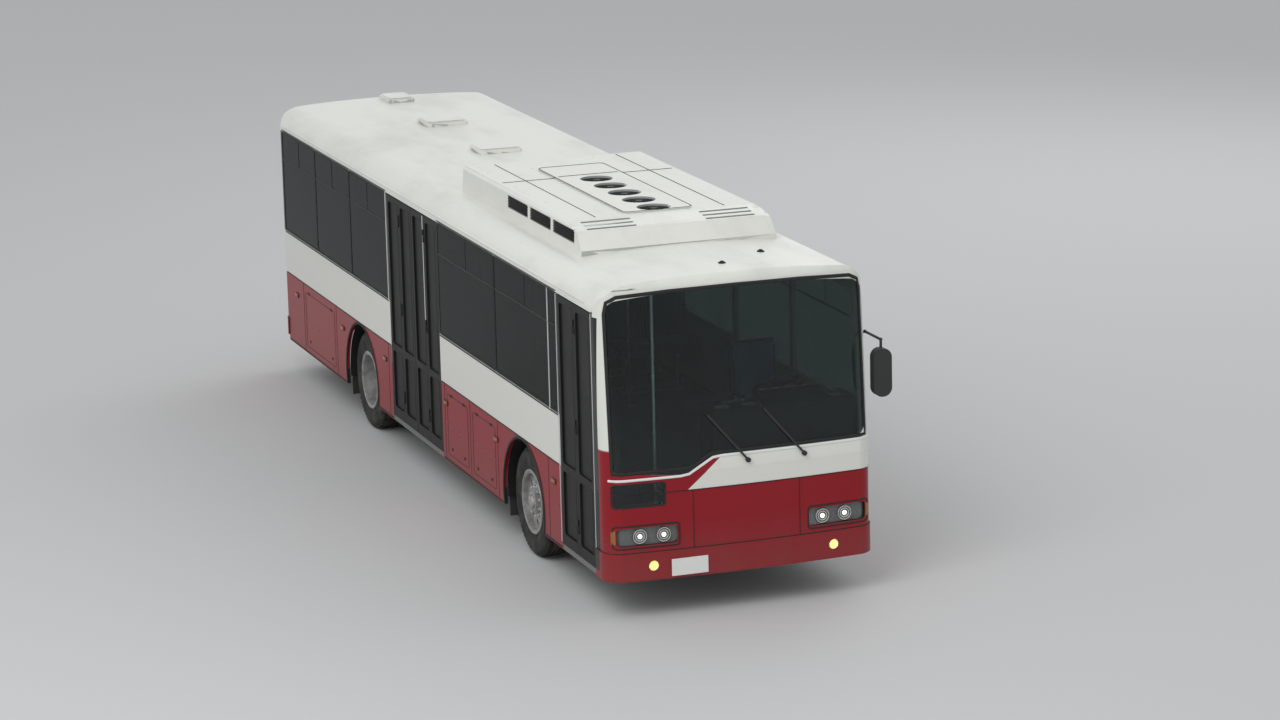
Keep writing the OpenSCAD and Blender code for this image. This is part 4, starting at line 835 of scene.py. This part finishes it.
def cooling_unit():
    """Guards and blades of the five fans in the cooling unit's top."""
    cages, blades = Maker("fan_cages", dark_metal), Maker("fan_blades", black)
    half = Vector((0.055, 0.028, 0.002))
    for x in FANS:
        for r in (FAN_RADIUS, 0.118, 0.088, 0.058):
            thick = 0.0028 if r < FAN_RADIUS else 0.006
            cages.ring((x, 0, FAN_TOP + 0.012 * (1 - r / FAN_RADIUS)), UP, r, thick, 48, 6)
        for a in turns(8):
            ends = ((0.03, FAN_TOP + 0.010), (FAN_RADIUS, FAN_TOP))
            cages.tube([(x + r * math.cos(a), r * math.sin(a), z) for r, z in ends], 0.0026, sides=6)
        cages.disc((x, 0, FAN_TOP + 0.004), UP, 0.034, 0.010, 0.004, 32)
        for a in turns(7):
            turn = Matrix.Rotation(a, 4, "Z") @ Matrix.Rotation(0.45, 4, "X")
            middle = Vector((x + 0.085 * math.cos(a), 0.085 * math.sin(a), 3.148))
            blades.block(middle - half, middle + half, 0.0015, turn)
        blades.disc((x, 0, 3.128), UP, 0.036, 0.038, 0.006)
    done(cages, blades)


def roof_details():
    """Joints and screws of the unit's cover, hatch seals and hinges, rivets along the roof's edges."""
    seams, screws, rivets = Maker("cover_seams", gasket), Maker("cover_screws", bright), Maker("roof_rivets", roof)
    for line in ([(1.45, -0.85), (1.45, 0.85)], [(0.48, 0.62), (3.45, 0.62)], [(0.48, -0.62), (3.45, -0.62)]):
        roof_bead(seams, line, 0.008, 0.006)
    roof_bead(seams, rounded((0.92, -0.33), (3.42, 0.33), 0.06), 0.008, 0.005, True)
    spots = [(0.55 + 0.29 * i, y, 4) for i in range(11) for y in (-0.80, 0.80, -0.36, 0.36)]
    for spot, normal in zip(*pod_skin.lay(spots, DOWN, -0.001)):
        screws.disc(spot, normal, 0.009, 0.005, 0.002, 12)
    for side in (-1, 1):
        turn = Matrix.Rotation(math.radians(-28 * side), 4, "X")
        for k in range(3):
            x = 2.12 + 0.665 * k
            for i in range(5):
                z = 3.045 + 0.024 * i
                side_block(seams, side, (x - 0.285, x + 0.285), (0.905, 0.928), (z - 0.002, z + 0.002), 0.001, turn)
    for spot in top_skin.lay([(x, 0, 4) for x in (-1.45, -3.30, -5.0)], DOWN)[0]:
        for y in (-0.12, 0.12):
            screws.disc((spot.x, y, spot.z - 0.002), UP, 0.011, 0.006, 0.002, 12)
    for spot, normal in zip(*top_skin.lay([(4.55, 0.54, 4), (4.93, 0.03, 4)], DOWN, -0.001)):
        seams.disc(spot, normal, 0.034, 0.010, 0.004, 28)
        seams.disc(spot, normal, 0.018, 0.022, 0.006, 20)
    spots = [(-5.15 + 0.16 * i, side * 1.12, 4) for side in (-1, 1) for i in range(64)]
    for spot, normal in zip(*body_skin.lay(spots, DOWN, -0.0008)):
        rivets.disc(spot, normal, 0.006, 0.0025, 0.001, 10)
    done(seams, screws, rivets)


# ---- rear and underneath


def rear_trim():
    """Window seal, seams and lamps at the rear."""
    seal, seams = Maker("rear_gasket", gasket), Maker("rear_seams", gasket)
    marks, bases = Maker("rear_top_lamps", lamp_red), Maker("rear_lamp_seats", black)
    for maker, line, wide, high, closed, lift in (
        (seal, rounded((-0.95, 1.675), (0.95, 2.615), 0.11), 0.032, 0.016, True, 0.001),
        (seams, rounded((-0.907, 0.675), (0.907, 1.493), 0.05), 0.008, 0.006, True, -0.001),
        (seams, [(-1.22, BELT), (-0.93, BELT)], 0.010, 0.008, False, 0.001),
        (seams, [(0.93, BELT), (1.22, BELT)], 0.010, 0.008, False, 0.001),
    ):
        stern.bead(maker, [(-8, y, z) for y, z in even(line, 0.06, closed)], AHEAD, wide, high, closed, lift)
    for spot, normal in zip(*body_skin.lay([(-8, y, 2.74) for y in (-1.02, 1.02)], AHEAD, -0.001)):
        bases.disc(spot, normal, 0.034, 0.008, 0.003)
        marks.disc(spot + normal * 0.006, normal, 0.026, 0.012, 0.006)
    for y in (-1.04, 1.04):
        for z0, z1 in ((0.715, 0.86), (0.875, 1.02), (1.035, 1.20)):
            for spot in tails.lay([(-8, y, (z0 + z1) / 2)], AHEAD)[0]:
                marks.block((spot.x - 0.008, y - 0.040, z0), (spot.x + 0.002, y + 0.040, z1), 0.006)
    done(seal, seams, marks, bases)


def engine_lid():
    """Louvres, handle, lock and fasteners on the engine lid."""
    slats, iron = Maker("lid_louvres", grille_black, "engine_door"), Maker("lid_ironwork", bright, "engine_door")
    turn = Matrix.Rotation(math.radians(32), 4, "Y")
    for y0, y1 in ((-0.78, -0.30), (0.30, 0.78)):
        for k in range(9):
            z = 0.80 + 0.030 * k
            slats.block((-5.470, y0, z - 0.010), (-5.458, y1, z + 0.010), 0.003, turn)
    iron.tube([(-5.462, -0.09, 0.745), (-5.492, -0.08, 0.745), (-5.492, 0.08, 0.745), (-5.462, 0.09, 0.745)], 0.008)
    iron.disc((-5.461, 0, 0.80), BACK, 0.018, 0.006)
    for y in (-0.86, 0.86):
        for z in (0.72, 1.05, 1.38):
            iron.disc((-5.461, y, z), BACK, 0.009, 0.004)
    done(slats, iron)


def underneath():
    """Brake drums and chambers, exhaust, straps of the tanks."""
    iron, pipe, straps = Maker("brake_parts", steel), Maker("exhaust", tank), Maker("tank_straps", steel)
    for side in (-1, 1):
        iron.disc((REAR_AXLE, side * 0.50, TYRE), (0, side, 0), 0.205, 0.085, 0.012, 48)
        iron.tube([(REAR_AXLE - 0.16, side * y, 0.40) for y in (0.42, 0.52)], 0.030)
        iron.disc((REAR_AXLE - 0.16, side * 0.30, 0.40), (0, side, 0), 0.082, 0.14, 0.025, 40)
    pipe.tube([(-4.62, 0.30, 0.42), (-4.86, 0.42, 0.38), (-5.10, 0.56, 0.375), (-5.36, 0.60, 0.37)], 0.048)
    pipe.disc((-4.95, 0.62, 0.43), (0, 1, 0), 0.115, 0.42, 0.03, 40)
    pipe.ring((-5.36, 0.60, 0.37), BACK, 0.047, 0.005)
    for (x0, x1), (y0, y1), (z0, z1) in node_solids("tanks"):
        radius = min(y1 - y0, z1 - z0) * 0.42
        loop = rounded((y0 - 0.002, z0 - 0.002), (y1 + 0.002, z1 + 0.002), radius, 8)
        for part in (0.22, 0.78):
            straps.sweep([(x0 + (x1 - x0) * part, y, z) for y, z in loop], 0.006, 0.034, True, AHEAD)
    done(iron, pipe, straps)


# ---- wheels

SECTION = [  # half of the tyre's section: distance from its middle plane, radius
    (0.000, 0.498), (0.060, 0.498), (0.098, 0.496), (0.112, 0.492), (0.123, 0.482), (0.131, 0.466), (0.1365, 0.440),
    (0.1375, 0.412), (0.1365, 0.380), (0.132, 0.350), (0.127, 0.330), (0.126, 0.322), (0.129, 0.318), (0.129, 0.312),
    (0.124, 0.308), (0.122, 0.296), (0.116, 0.288), (0.108, 0.286),
]
RIBS = ((-0.107, -0.077), (-0.068, -0.030), (-0.019, 0.019), (0.030, 0.068), (0.077, 0.107))
BLOCKS = 54  # blocks of tread round a tyre
WIDEST, WIDEST_R = 0.1375, 0.412  # half the tyre's greatest width, and the radius where it is
LINER = 0.597  # radius of the shells over the wheels


def turned(bm, line, axle, middle, side, steps=96):
    """Revolves a closed line of (across, radius) round a wheel's axis."""
    rows = [[bm.verts.new(on_wheel(axle, side * (middle + w), r, a)) for w, r in line] for a in turns(steps)]
    joined(bm, rows, closed=True)


def tread_block(bm, axle, middle, side, w0, w1, a0, a1, slant):
    """One block of tread between two angles, with a narrower top."""
    rows = []
    for r, inset in ((0.4945, 0.0), (0.5065, 0.001), (0.5095, 0.003)):
        row = []
        for w, a in ((w0 + inset, a0), (w1 - inset, a0), (w1 - inset, a1), (w0 + inset, a1)):
            b = a + slant * (w - (w0 + w1) / 2) + (inset * 2 if a == a0 else -inset * 2)
            row.append(bm.verts.new(on_wheel(axle, side * (middle + w), r - 0.35 * w * w, b)))
        rows.append(row)
    joined(bm, rows)
    bm.faces.new(rows[-1])


def tyres():
    """Tyres with blocks of tread, and with bands, rim guards and shoulder bars on their walls."""
    outline = [(-w, r) for w, r in reversed(SECTION)] + SECTION[1:]
    for node, body, axle, side, middles, _, _ in WHEELS:
        bm = bmesh.new()
        for middle in middles:
            turned(bm, outline, axle, middle, side)
            for j, (w0, w1) in enumerate(RIBS):
                shoulder = j in (0, 4)
                for a0 in turns(BLOCKS, 0.5 * (j % 2)):
                    a1 = a0 + 2 * math.pi / BLOCKS * (0.80 if shoulder else 0.86)
                    tread_block(bm, axle, middle, side, w0, w1, a0, a1, 0.0 if shoulder else 0.9 * (-1) ** j)
            for s in (-1, 1):
                for r, t in ((0.452, 0.0022), (0.398, 0.0016), (0.342, 0.0026)):
                    w = s * (WIDEST - abs(r - WIDEST_R) ** 2 * 3.2)
                    turned(bm, [(w + t * math.cos(b), r + t * math.sin(b)) for b in turns(6)], axle, middle, side, 72)
                for a in turns(BLOCKS, 0.4):
                    bar = [
                        bm.verts.new(on_wheel(axle, side * (middle + s * (w + lift)), r, b))
                        for r, w in ((0.486, 0.118), (0.470, 0.1305))
                        for b in (a - 0.018, a + 0.018)
                        for lift in (0.0, 0.0035)
                    ]
                    for face in ((0, 1, 3, 2), (4, 6, 7, 5), (0, 4, 5, 1), (2, 3, 7, 6), (1, 5, 7, 3)):
                        bm.faces.new([bar[k] for k in face])
        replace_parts(finished(f"tread_{node}", bm, rubber, body, 40), node)


def wheel_trim():
    """Nuts, hub covers, valves and balance weights."""
    for _, body, axle, side, middles, disc, hub in WHEELS:
        out = (0, side, 0)
        nuts, covers = Maker(f"nuts_{body}", bright, body), Maker(f"hub_{body}", wheel, body)
        for a in turns(10, 0.5):
            for size in ((0.022, 0.005, 0.001, 20), (0.0170, 0.024, 0.003, 6), (0.0085, 0.036, 0.002, 12)):
                nuts.disc(on_wheel(axle, disc * side, 0.138, a), out, *size)
        covers.disc((axle, hub * side, TYRE), out, 0.092, 0.012, 0.004, 40)
        covers.disc((axle, (hub + 0.008) * side, TYRE), out, 0.070, 0.030, 0.010, 40, 0.060)
        for a in turns(6):
            nuts.disc(on_wheel(axle, (hub + 0.011) * side, 0.080, a), out, 0.006, 0.006, 0.001, 6)
        valve = ((0.205, -0.01, 0.13), (0.212, 0.02, 0.135), (0.222, 0.05, 0.14))
        nuts.tube([(axle + x, side * (disc + y), TYRE + z) for x, y, z in valve], 0.005)
        covers.ring((axle, side * (middles[0] + 0.126), TYRE), out, 0.291, 0.006, 72, 8)
        covers.ring((axle, side * (disc + 0.002), TYRE), out, 0.245, 0.005, 64, 8, 0.6)
        for a in turns(8):
            covers.ring(on_wheel(axle, side * (disc + 0.001), 0.2, a), out, 0.030, 0.003, 28, 6)
        done(nuts, covers)


def wheel_liners():
    """Curved splash shells over the wheels, closed on the inner side above the springs."""
    bm = bmesh.new()
    inside, outside = LINER - 0.003, LINER + 0.003
    section = ((0.566, inside), (1.206, inside), (1.206, outside), (0.560, outside))
    angles = [math.radians(-8 + 196 * i / 40) for i in range(41)]
    high = [a for a in angles if on_wheel(0, 0, ARCH, a)[2] > 0.70]
    for axle in (FRONT_AXLE, REAR_AXLE):
        for side in (-1, 1):
            rows = [[bm.verts.new(on_wheel(axle, side * y, r, a)) for y, r in section] for a in angles]
            walls = [[bm.verts.new(on_wheel(axle, side * y, LINER, a)) for a in high] for y in (0.562, 0.566)]
            joined(bm, rows)
            joined(bm, walls)
            for end in (rows[0], rows[-1], *walls):
                bm.faces.new(end)
    finished("wheel_liners", bm, grille_black)


# ---- inside: cushions, seat frames, rails' fittings, driver's place

CUTS = 17  # how finely the pads are cut for the cloth
LEAN = Matrix.Rotation(math.radians(-8), 4, "Y")  # of the seats' backs
SEAT_ROWS = [-3.0 + 0.76 * i for i in range(6)]  # rear edges of the double seats
DOUBLE_Y = 0.74  # middle of the double seats
REAR_SEATS = (-DOUBLE_Y, 0.0, DOUBLE_Y)  # middles of the pairs of places on the rear platform


def stuffed(size, cap):
    """A pad lying flat, blown up from a slack rounded box by cloth under pressure, by cap at most."""
    half = Vector(size) * 0.485
    round_r = min(half) * 0.75
    bm = bmesh.new()
    bmesh.ops.create_cube(bm, size=2)
    bmesh.ops.subdivide_edges(bm, edges=bm.edges, cuts=CUTS, use_grid_fill=True)
    for v in bm.verts:
        p = Vector(c * h for c, h in zip(v.co, half))
        core = Vector(max(round_r - h, min(h - round_r, c)) for c, h in zip(p, half))
        v.co = core + (p - core).normalized() * round_r if (p - core).length > 1e-6 else p
    mesh = meshed(bm, "pad")
    start = [v.co.copy() for v in mesh.vertices]
    pad = bpy.data.objects.new("pad", mesh)
    bpy.context.scene.collection.objects.link(pad)
    cloth = pad.modifiers.new("cloth", "CLOTH").settings
    cloth.quality, cloth.mass = 6, 0.3
    cloth.tension_stiffness = cloth.compression_stiffness = 18
    cloth.bending_stiffness = 0.8
    cloth.use_pressure, cloth.uniform_pressure_force = True, 4
    cloth.effector_weights.gravity = 0
    for step in range(1, 21):
        bpy.context.scene.frame_set(step)
    blown = pad.evaluated_get(bpy.context.evaluated_depsgraph_get()).to_mesh()
    swollen = [v.co.copy() for v in blown.vertices]
    bpy.data.objects.remove(pad)
    bpy.context.scene.frame_set(1)
    out = []
    for p, q in zip(start, swollen):
        move = q - p
        limit = cap * (0.15 if p.z < -0.6 * half.z else 1)
        out.append(p + move * min(1, limit / max(move.length, 1e-9)))
    faces = [tuple(f.vertices) for f in mesh.polygons]
    bpy.data.meshes.remove(mesh)
    return out, faces


def seat_places():
    """Every sitting place: rear edge x, middle y, height z of its floor, width, foot."""
    places = []
    for x in SEAT_ROWS:
        over = abs(x + 0.2 - REAR_AXLE) < 0.89
        base = WHEEL_BOX if over else FLOOR
        z = base - 0.21 if over else FLOOR
        places += [(x, DOUBLE_Y + s * 0.21, z, 0.42, base) for s in (-1, 1)]
    places += [(-5.12, y + s * 0.175, PLATFORM, 0.35, PLATFORM) for y in REAR_SEATS for s in (-1, 1)]
    return places


def leaning(x, y, z):
    """Where a seat's back starts behind its cushion, and how it leans."""
    return Matrix.Translation((x + 0.015, y, z + 0.385)) @ LEAN


def back_board(maker, seat, half, ahead, edge):
    """The board behind a seat's back."""
    middle = leaning(*seat) @ Vector((ahead, 0, 0.33))
    maker.block(middle - Vector(half), middle + Vector(half), edge, LEAN)


def upholstery(name, places):
    """Base and back pads of each place with piping along their seams, as one padded piece."""
    base, back = stuffed((0.43, 0.40, 0.085), 0.020), stuffed((0.62, 0.40, 0.062), 0.022)
    pads, piping = bmesh.new(), Maker(f"{name}_piping", piping_cloth)
    upright = Matrix.Translation((0.034, 0, 0.345)) @ Matrix.Rotation(math.radians(90), 4, "Y")
    for x, y, z, w, _ in places:
        wide = Matrix.Diagonal((1, (w - 0.012) / 0.40, 1, 1))
        for (points, faces), place, level in (
            (base, Matrix.Translation((x + 0.255, y, z + 0.425)) @ wide, 0.026),
            (back, leaning(x, y, z) @ upright @ wide, 0.018),
        ):
            made = [pads.verts.new(place @ p) for p in points]
            for f in faces:
                pads.faces.new([made[i] for i in f])
            half_a, half_b = max(p.x for p in points), max(p.y for p in points)
            loop = rounded((-half_a + 0.004, -half_b + 0.004), (half_a - 0.004, half_b - 0.004), 0.045, 5)
            piping.tube([place @ Vector((a, b, level)) for a, b in loop], 0.0042, True, 6)
    cushions = finished(name, pads, cloth, smooth=60)
    piping.done()
    return cushions


def seats():
    """Cushions, shells and legs of the passengers' seats."""
    places = seat_places()
    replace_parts(upholstery("passenger_cushions", places), "passenger_seats")
    frames, legs = Maker("seat_shells", shell_grey), Maker("seat_legs", stainless)
    for x, y, z, w, _ in places:
        half = w / 2 - 0.004
        frames.block((x + 0.035, y - half, z + 0.372), (x + 0.455, y + half, z + 0.392), 0.008)
        back_board(frames, (x, y, z), (0.007, half, 0.325), 0.008, 0.006)
        hoop = ((-1, 0.60), (-1, 0.665), (1, 0.665), (1, 0.60))
        legs.tube([leaning(x, y, z) @ Vector((0.03, s * (w / 2 - 0.07), h)) for s, h in hoop], 0.011)
    y = DOUBLE_Y
    for x, (_, _, z, _, base) in zip(SEAT_ROWS, places[::2]):
        legs.block((x + 0.09, y - 0.36, base), (x + 0.39, y + 0.36, base + 0.012), 0.004)
        for s in (-0.27, 0.27):
            legs.tube([(x + 0.24, y + s, base + 0.01), (x + 0.24, y + s, z + 0.375)], 0.019)
        for s in (-0.33, 0.33):
            for d in (0.12, 0.36):
                legs.disc((x + d, y + s, base + 0.011), UP, 0.010, 0.007, 0.002, 6)
    for y in REAR_SEATS:
        frames.block((-5.06, y - 0.33, PLATFORM + 0.001), (-4.73, y + 0.33, 1.665), 0.010)
    done(frames, legs)


def driver_seat():
    """The driver's cushions on a stand with bellows, and its armrest."""
    x, y, z = 4.04, 0.65, 1.01
    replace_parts(upholstery("driver_cushions", [(x, y, z, 0.46, FLOOR)]), "driver_seat")
    stand = Maker("driver_seat_stand", black)
    stand.block((x + 0.03, y - 0.225, z + 0.36), (x + 0.455, y + 0.225, z + 0.39), 0.010)
    stand.block((x + 0.09, y - 0.18, FLOOR + 0.001), (x + 0.39, y + 0.18, FLOOR + 0.035), 0.008)
    for k in range(6):
        fold, low = 0.006 * (k % 2), 0.99 + 0.06 * k
        stand.block((x + 0.12 + fold, y - 0.13, low), (x + 0.36 - fold, y + 0.13, low + 0.055), 0.012)
    back_board(stand, (x, y, z), (0.009, 0.22, 0.325), 0.006, 0.008)
    rest = ((0.10, 0.26, 0.42), (0.10, 0.245, 0.60), (0.36, 0.245, 0.62))
    stand.tube([(x + a, y - b, z + c) for a, b, c in rest], 0.013)
    stand.done()


def driver_place():
    """Dials, switches and vents on the dashboard, spokes' pad and horn button on the wheel."""
    panel, rims = Maker("dash_panel", shell_grey), Maker("dial_rims", bright)
    lights = Maker("dash_lights", lamp_amber)
    for y, r in ((0.52, 0.045), (0.65, 0.060), (0.78, 0.045), (0.42, 0.028), (0.88, 0.028)):
        at = Vector((4.865, y, 1.786))
        panel.disc(at, (-0.3, 0, 1), r + 0.012, 0.010, 0.004, 36)
        rims.ring(at + Vector((-0.003, 0, 0.011)), (-0.3, 0, 1), r, 0.003, 40, 6)
    for k in range(8):
        y = 0.02 + 0.045 * k if k < 5 else 0.95 + 0.05 * (k - 5)
        panel.block((4.90, y - 0.016, 1.729), (4.95, y + 0.016, 1.742), 0.003)
        lights.disc((4.965, y, 1.730), UP, 0.004, 0.004, 0.001, 10)
    for y in (-0.05, 0.20, 1.02):
        for k in range(6):
            panel.block((5.02 + 0.018 * k, y - 0.06, 1.729), (5.028 + 0.018 * k, y + 0.06, 1.736), 0.002)
    done(panel, rims, lights)
    pad, tilt = Maker("wheel_pad", black, "steering_wheel"), math.radians(-35)
    axis = Vector((math.sin(tilt), 0, math.cos(tilt)))
    at = Vector((4.64, 0.65, 1.76))
    pad.disc(at + axis * 0.004, axis, 0.062, 0.022, 0.008, 40, 0.050)
    pad.ring(at + axis * 0.026, axis, 0.030, 0.004, 32, 8)
    turn = faced(axis)
    for a in turns(24):
        spot = at + turn @ Vector((0.225 * math.cos(a), 0.225 * math.sin(a), 0))
        pad.ring(spot, turn @ Vector((-math.sin(a), math.cos(a), 0)), 0.0152, 0.0022, 16, 6)
    pad.done()


def cabin_fittings():
    """Clamps and flanges of the rails, lights along the ceiling, nosings on the steps."""
    clamps, lights = Maker("rail_clamps", stainless), Maker("ceiling_lights", lamp_white_soft)
    edges = Maker("step_nosings", nosing)
    for (x0, x1), (y0, y1), (z0, z1) in node_solids("grab_rails"):
        if x1 - x0 > 0.1:
            continue
        x, y = (x0 + x1) / 2, (y0 + y1) / 2
        for z in (z0, z1 - 0.012):
            clamps.disc((x, y, z), UP, 0.036, 0.012, 0.004, 28)
        for z in (1.55, 2.05) if z1 - z0 > 1.2 else ():
            clamps.disc((x, y, z), UP, 0.0195, 0.05, 0.006, 24)
    for x, y, z in ceiling.lay([(-4.6 + 1.35 * i, y, 1.5) for y in (-0.62, 0.62) for i in range(7)], UP)[0]:
        lights.block((x, y - 0.06, z - 0.030), (x + 1.1, y + 0.06, z - 0.004), 0.012)
    for x0, x1 in ((-1.19, 0.51), (4.17, 5.08)):
        for y, z in ((-1.225, 0.40), (-0.70, 0.675), (-0.49, FLOOR)):
            edges.block((x0 + 0.01, y - 0.005, z - 0.02), (x1 - 0.01, y + 0.025, z + 0.004), 0.003)
    done(clamps, lights, edges)


# ---- making it all: the surfaces that trim is laid on, then the pieces

nose = Skin("front_panel windscreen front_bumper")
lens = Skin("front_lamps")
stern = Skin("rear_panel rear_window rear_bumper")
tails = Skin("tail_lamps")
pod_skin = Skin("ac_pod")
ceiling = Skin("roof")
top_skin = Skin("roof ac_pod roof_vents")
body_skin = Skin("roof wall_left wall_right")

pane_gaskets("side_windows_left", 1)
pane_gaskets("side_windows_right", -1)
side_trim()
skirt_flaps()
arches()
side_markers()
doors()
front_trim()
lamps()
cooling_unit()
tyres()
wheel_trim()
wheel_liners()
seats()
driver_seat()
rear_trim()
engine_lid()
underneath()
roof_details()
driver_place()
cabin_fittings()
wiper_parts()
mirror_parts()
for node in ("front_panel", "rear_panel", "front_bumper", "rear_bumper"):
    redressed(node, coach)
for node in ("roof", "ac_pod", "roof_vents"):
    redressed(node, roof)
redressed("ac_fans", grille_black)


# ---- studio: floor, light and camera


def studio():
    """A pale floor, a bright sky and two large lamps."""
    bpy.ops.mesh.primitive_plane_add(size=120, location=(0, 0, 0))
    ground = bpy.context.object
    ground.name = "studio_floor"
    f = Finish("studio_floor")
    f.feed(Base_Color=f.mix(f.noise(3, 2) * 0.1, grey(0.62), grey(0.66)))
    f.skin.inputs["Roughness"].default_value = 0.9
    ground.data.materials.append(f.material)

    world = bpy.data.worlds.new("studio_light")
    bpy.context.scene.world = world
    world.use_nodes = True
    tree = world.node_tree
    lit = tree.nodes["Background"]
    lit.inputs["Color"].default_value = (0.96, 0.98, 1.0, 1)
    lit.inputs["Strength"].default_value = 0.62
    shown = tree.nodes.new("ShaderNodeBackground")
    shown.inputs["Color"].default_value = (0.9, 0.91, 0.91, 1)
    rays = tree.nodes.new("ShaderNodeLightPath")
    seen = rays.outputs["Is Camera Ray"]
    for kind in ("Is Glossy Ray", "Is Transmission Ray"):
        either = tree.nodes.new("ShaderNodeMath")
        either.operation = "MAXIMUM"
        tree.links.new(seen, either.inputs[0])
        tree.links.new(rays.outputs[kind], either.inputs[1])
        seen = either.outputs[0]
    blend = tree.nodes.new("ShaderNodeMixShader")
    for plug, source in enumerate((seen, lit.outputs[0], shown.outputs[0])):
        tree.links.new(source, blend.inputs[plug])
    tree.links.new(blend.outputs[0], tree.nodes["World Output"].inputs["Surface"])

    for name, place, size, power in (
        ("key_light", (14, -12, 16), 12, 1500),
        ("fill_light", (-12, 14, 14), 14, 700),
    ):
        lamp = bpy.data.lights.new(name, "AREA")
        lamp.size, lamp.energy = size, power
        holder = bpy.data.objects.new(name, lamp)
        holder.location = place
        holder.rotation_euler = (Vector((0, 0, 1.2)) - Vector(place)).to_track_quat("-Z", "Y").to_euler()
        bpy.context.scene.collection.objects.link(holder)


def camera():
    """Stands where the photograph was taken from, as fitted to the coach's corners in it."""
    az, el, roll = (math.radians(a) for a in (70.61, 12.917, -1.414))
    back = Vector((math.sin(az) * math.cos(el), -math.cos(az) * math.cos(el), math.sin(el)))
    right = (-back).cross(Vector(UP)).normalized()
    up = right.cross(-back)
    across = math.cos(roll) * right + math.sin(roll) * up
    upward = math.cos(roll) * up - math.sin(roll) * right
    eye = bpy.data.objects.new("camera", bpy.data.cameras.new("camera"))
    focal, wide = 4035.8, 1280  # in pixels, as fitted to the photograph
    eye.data.sensor_width = 36
    eye.data.lens = eye.data.sensor_width * focal / wide
    eye.data.clip_end = 500
    facing = Matrix((across, upward, back)).transposed().to_4x4()
    eye.matrix_world = Matrix.Translation((37.149, -12.087, 10.025)) @ facing
    bpy.context.scene.collection.objects.link(eye)
    bpy.context.scene.camera = eye


studio()
camera()
view_settings = bpy.context.scene.view_settings
view_settings.view_transform = "Standard"
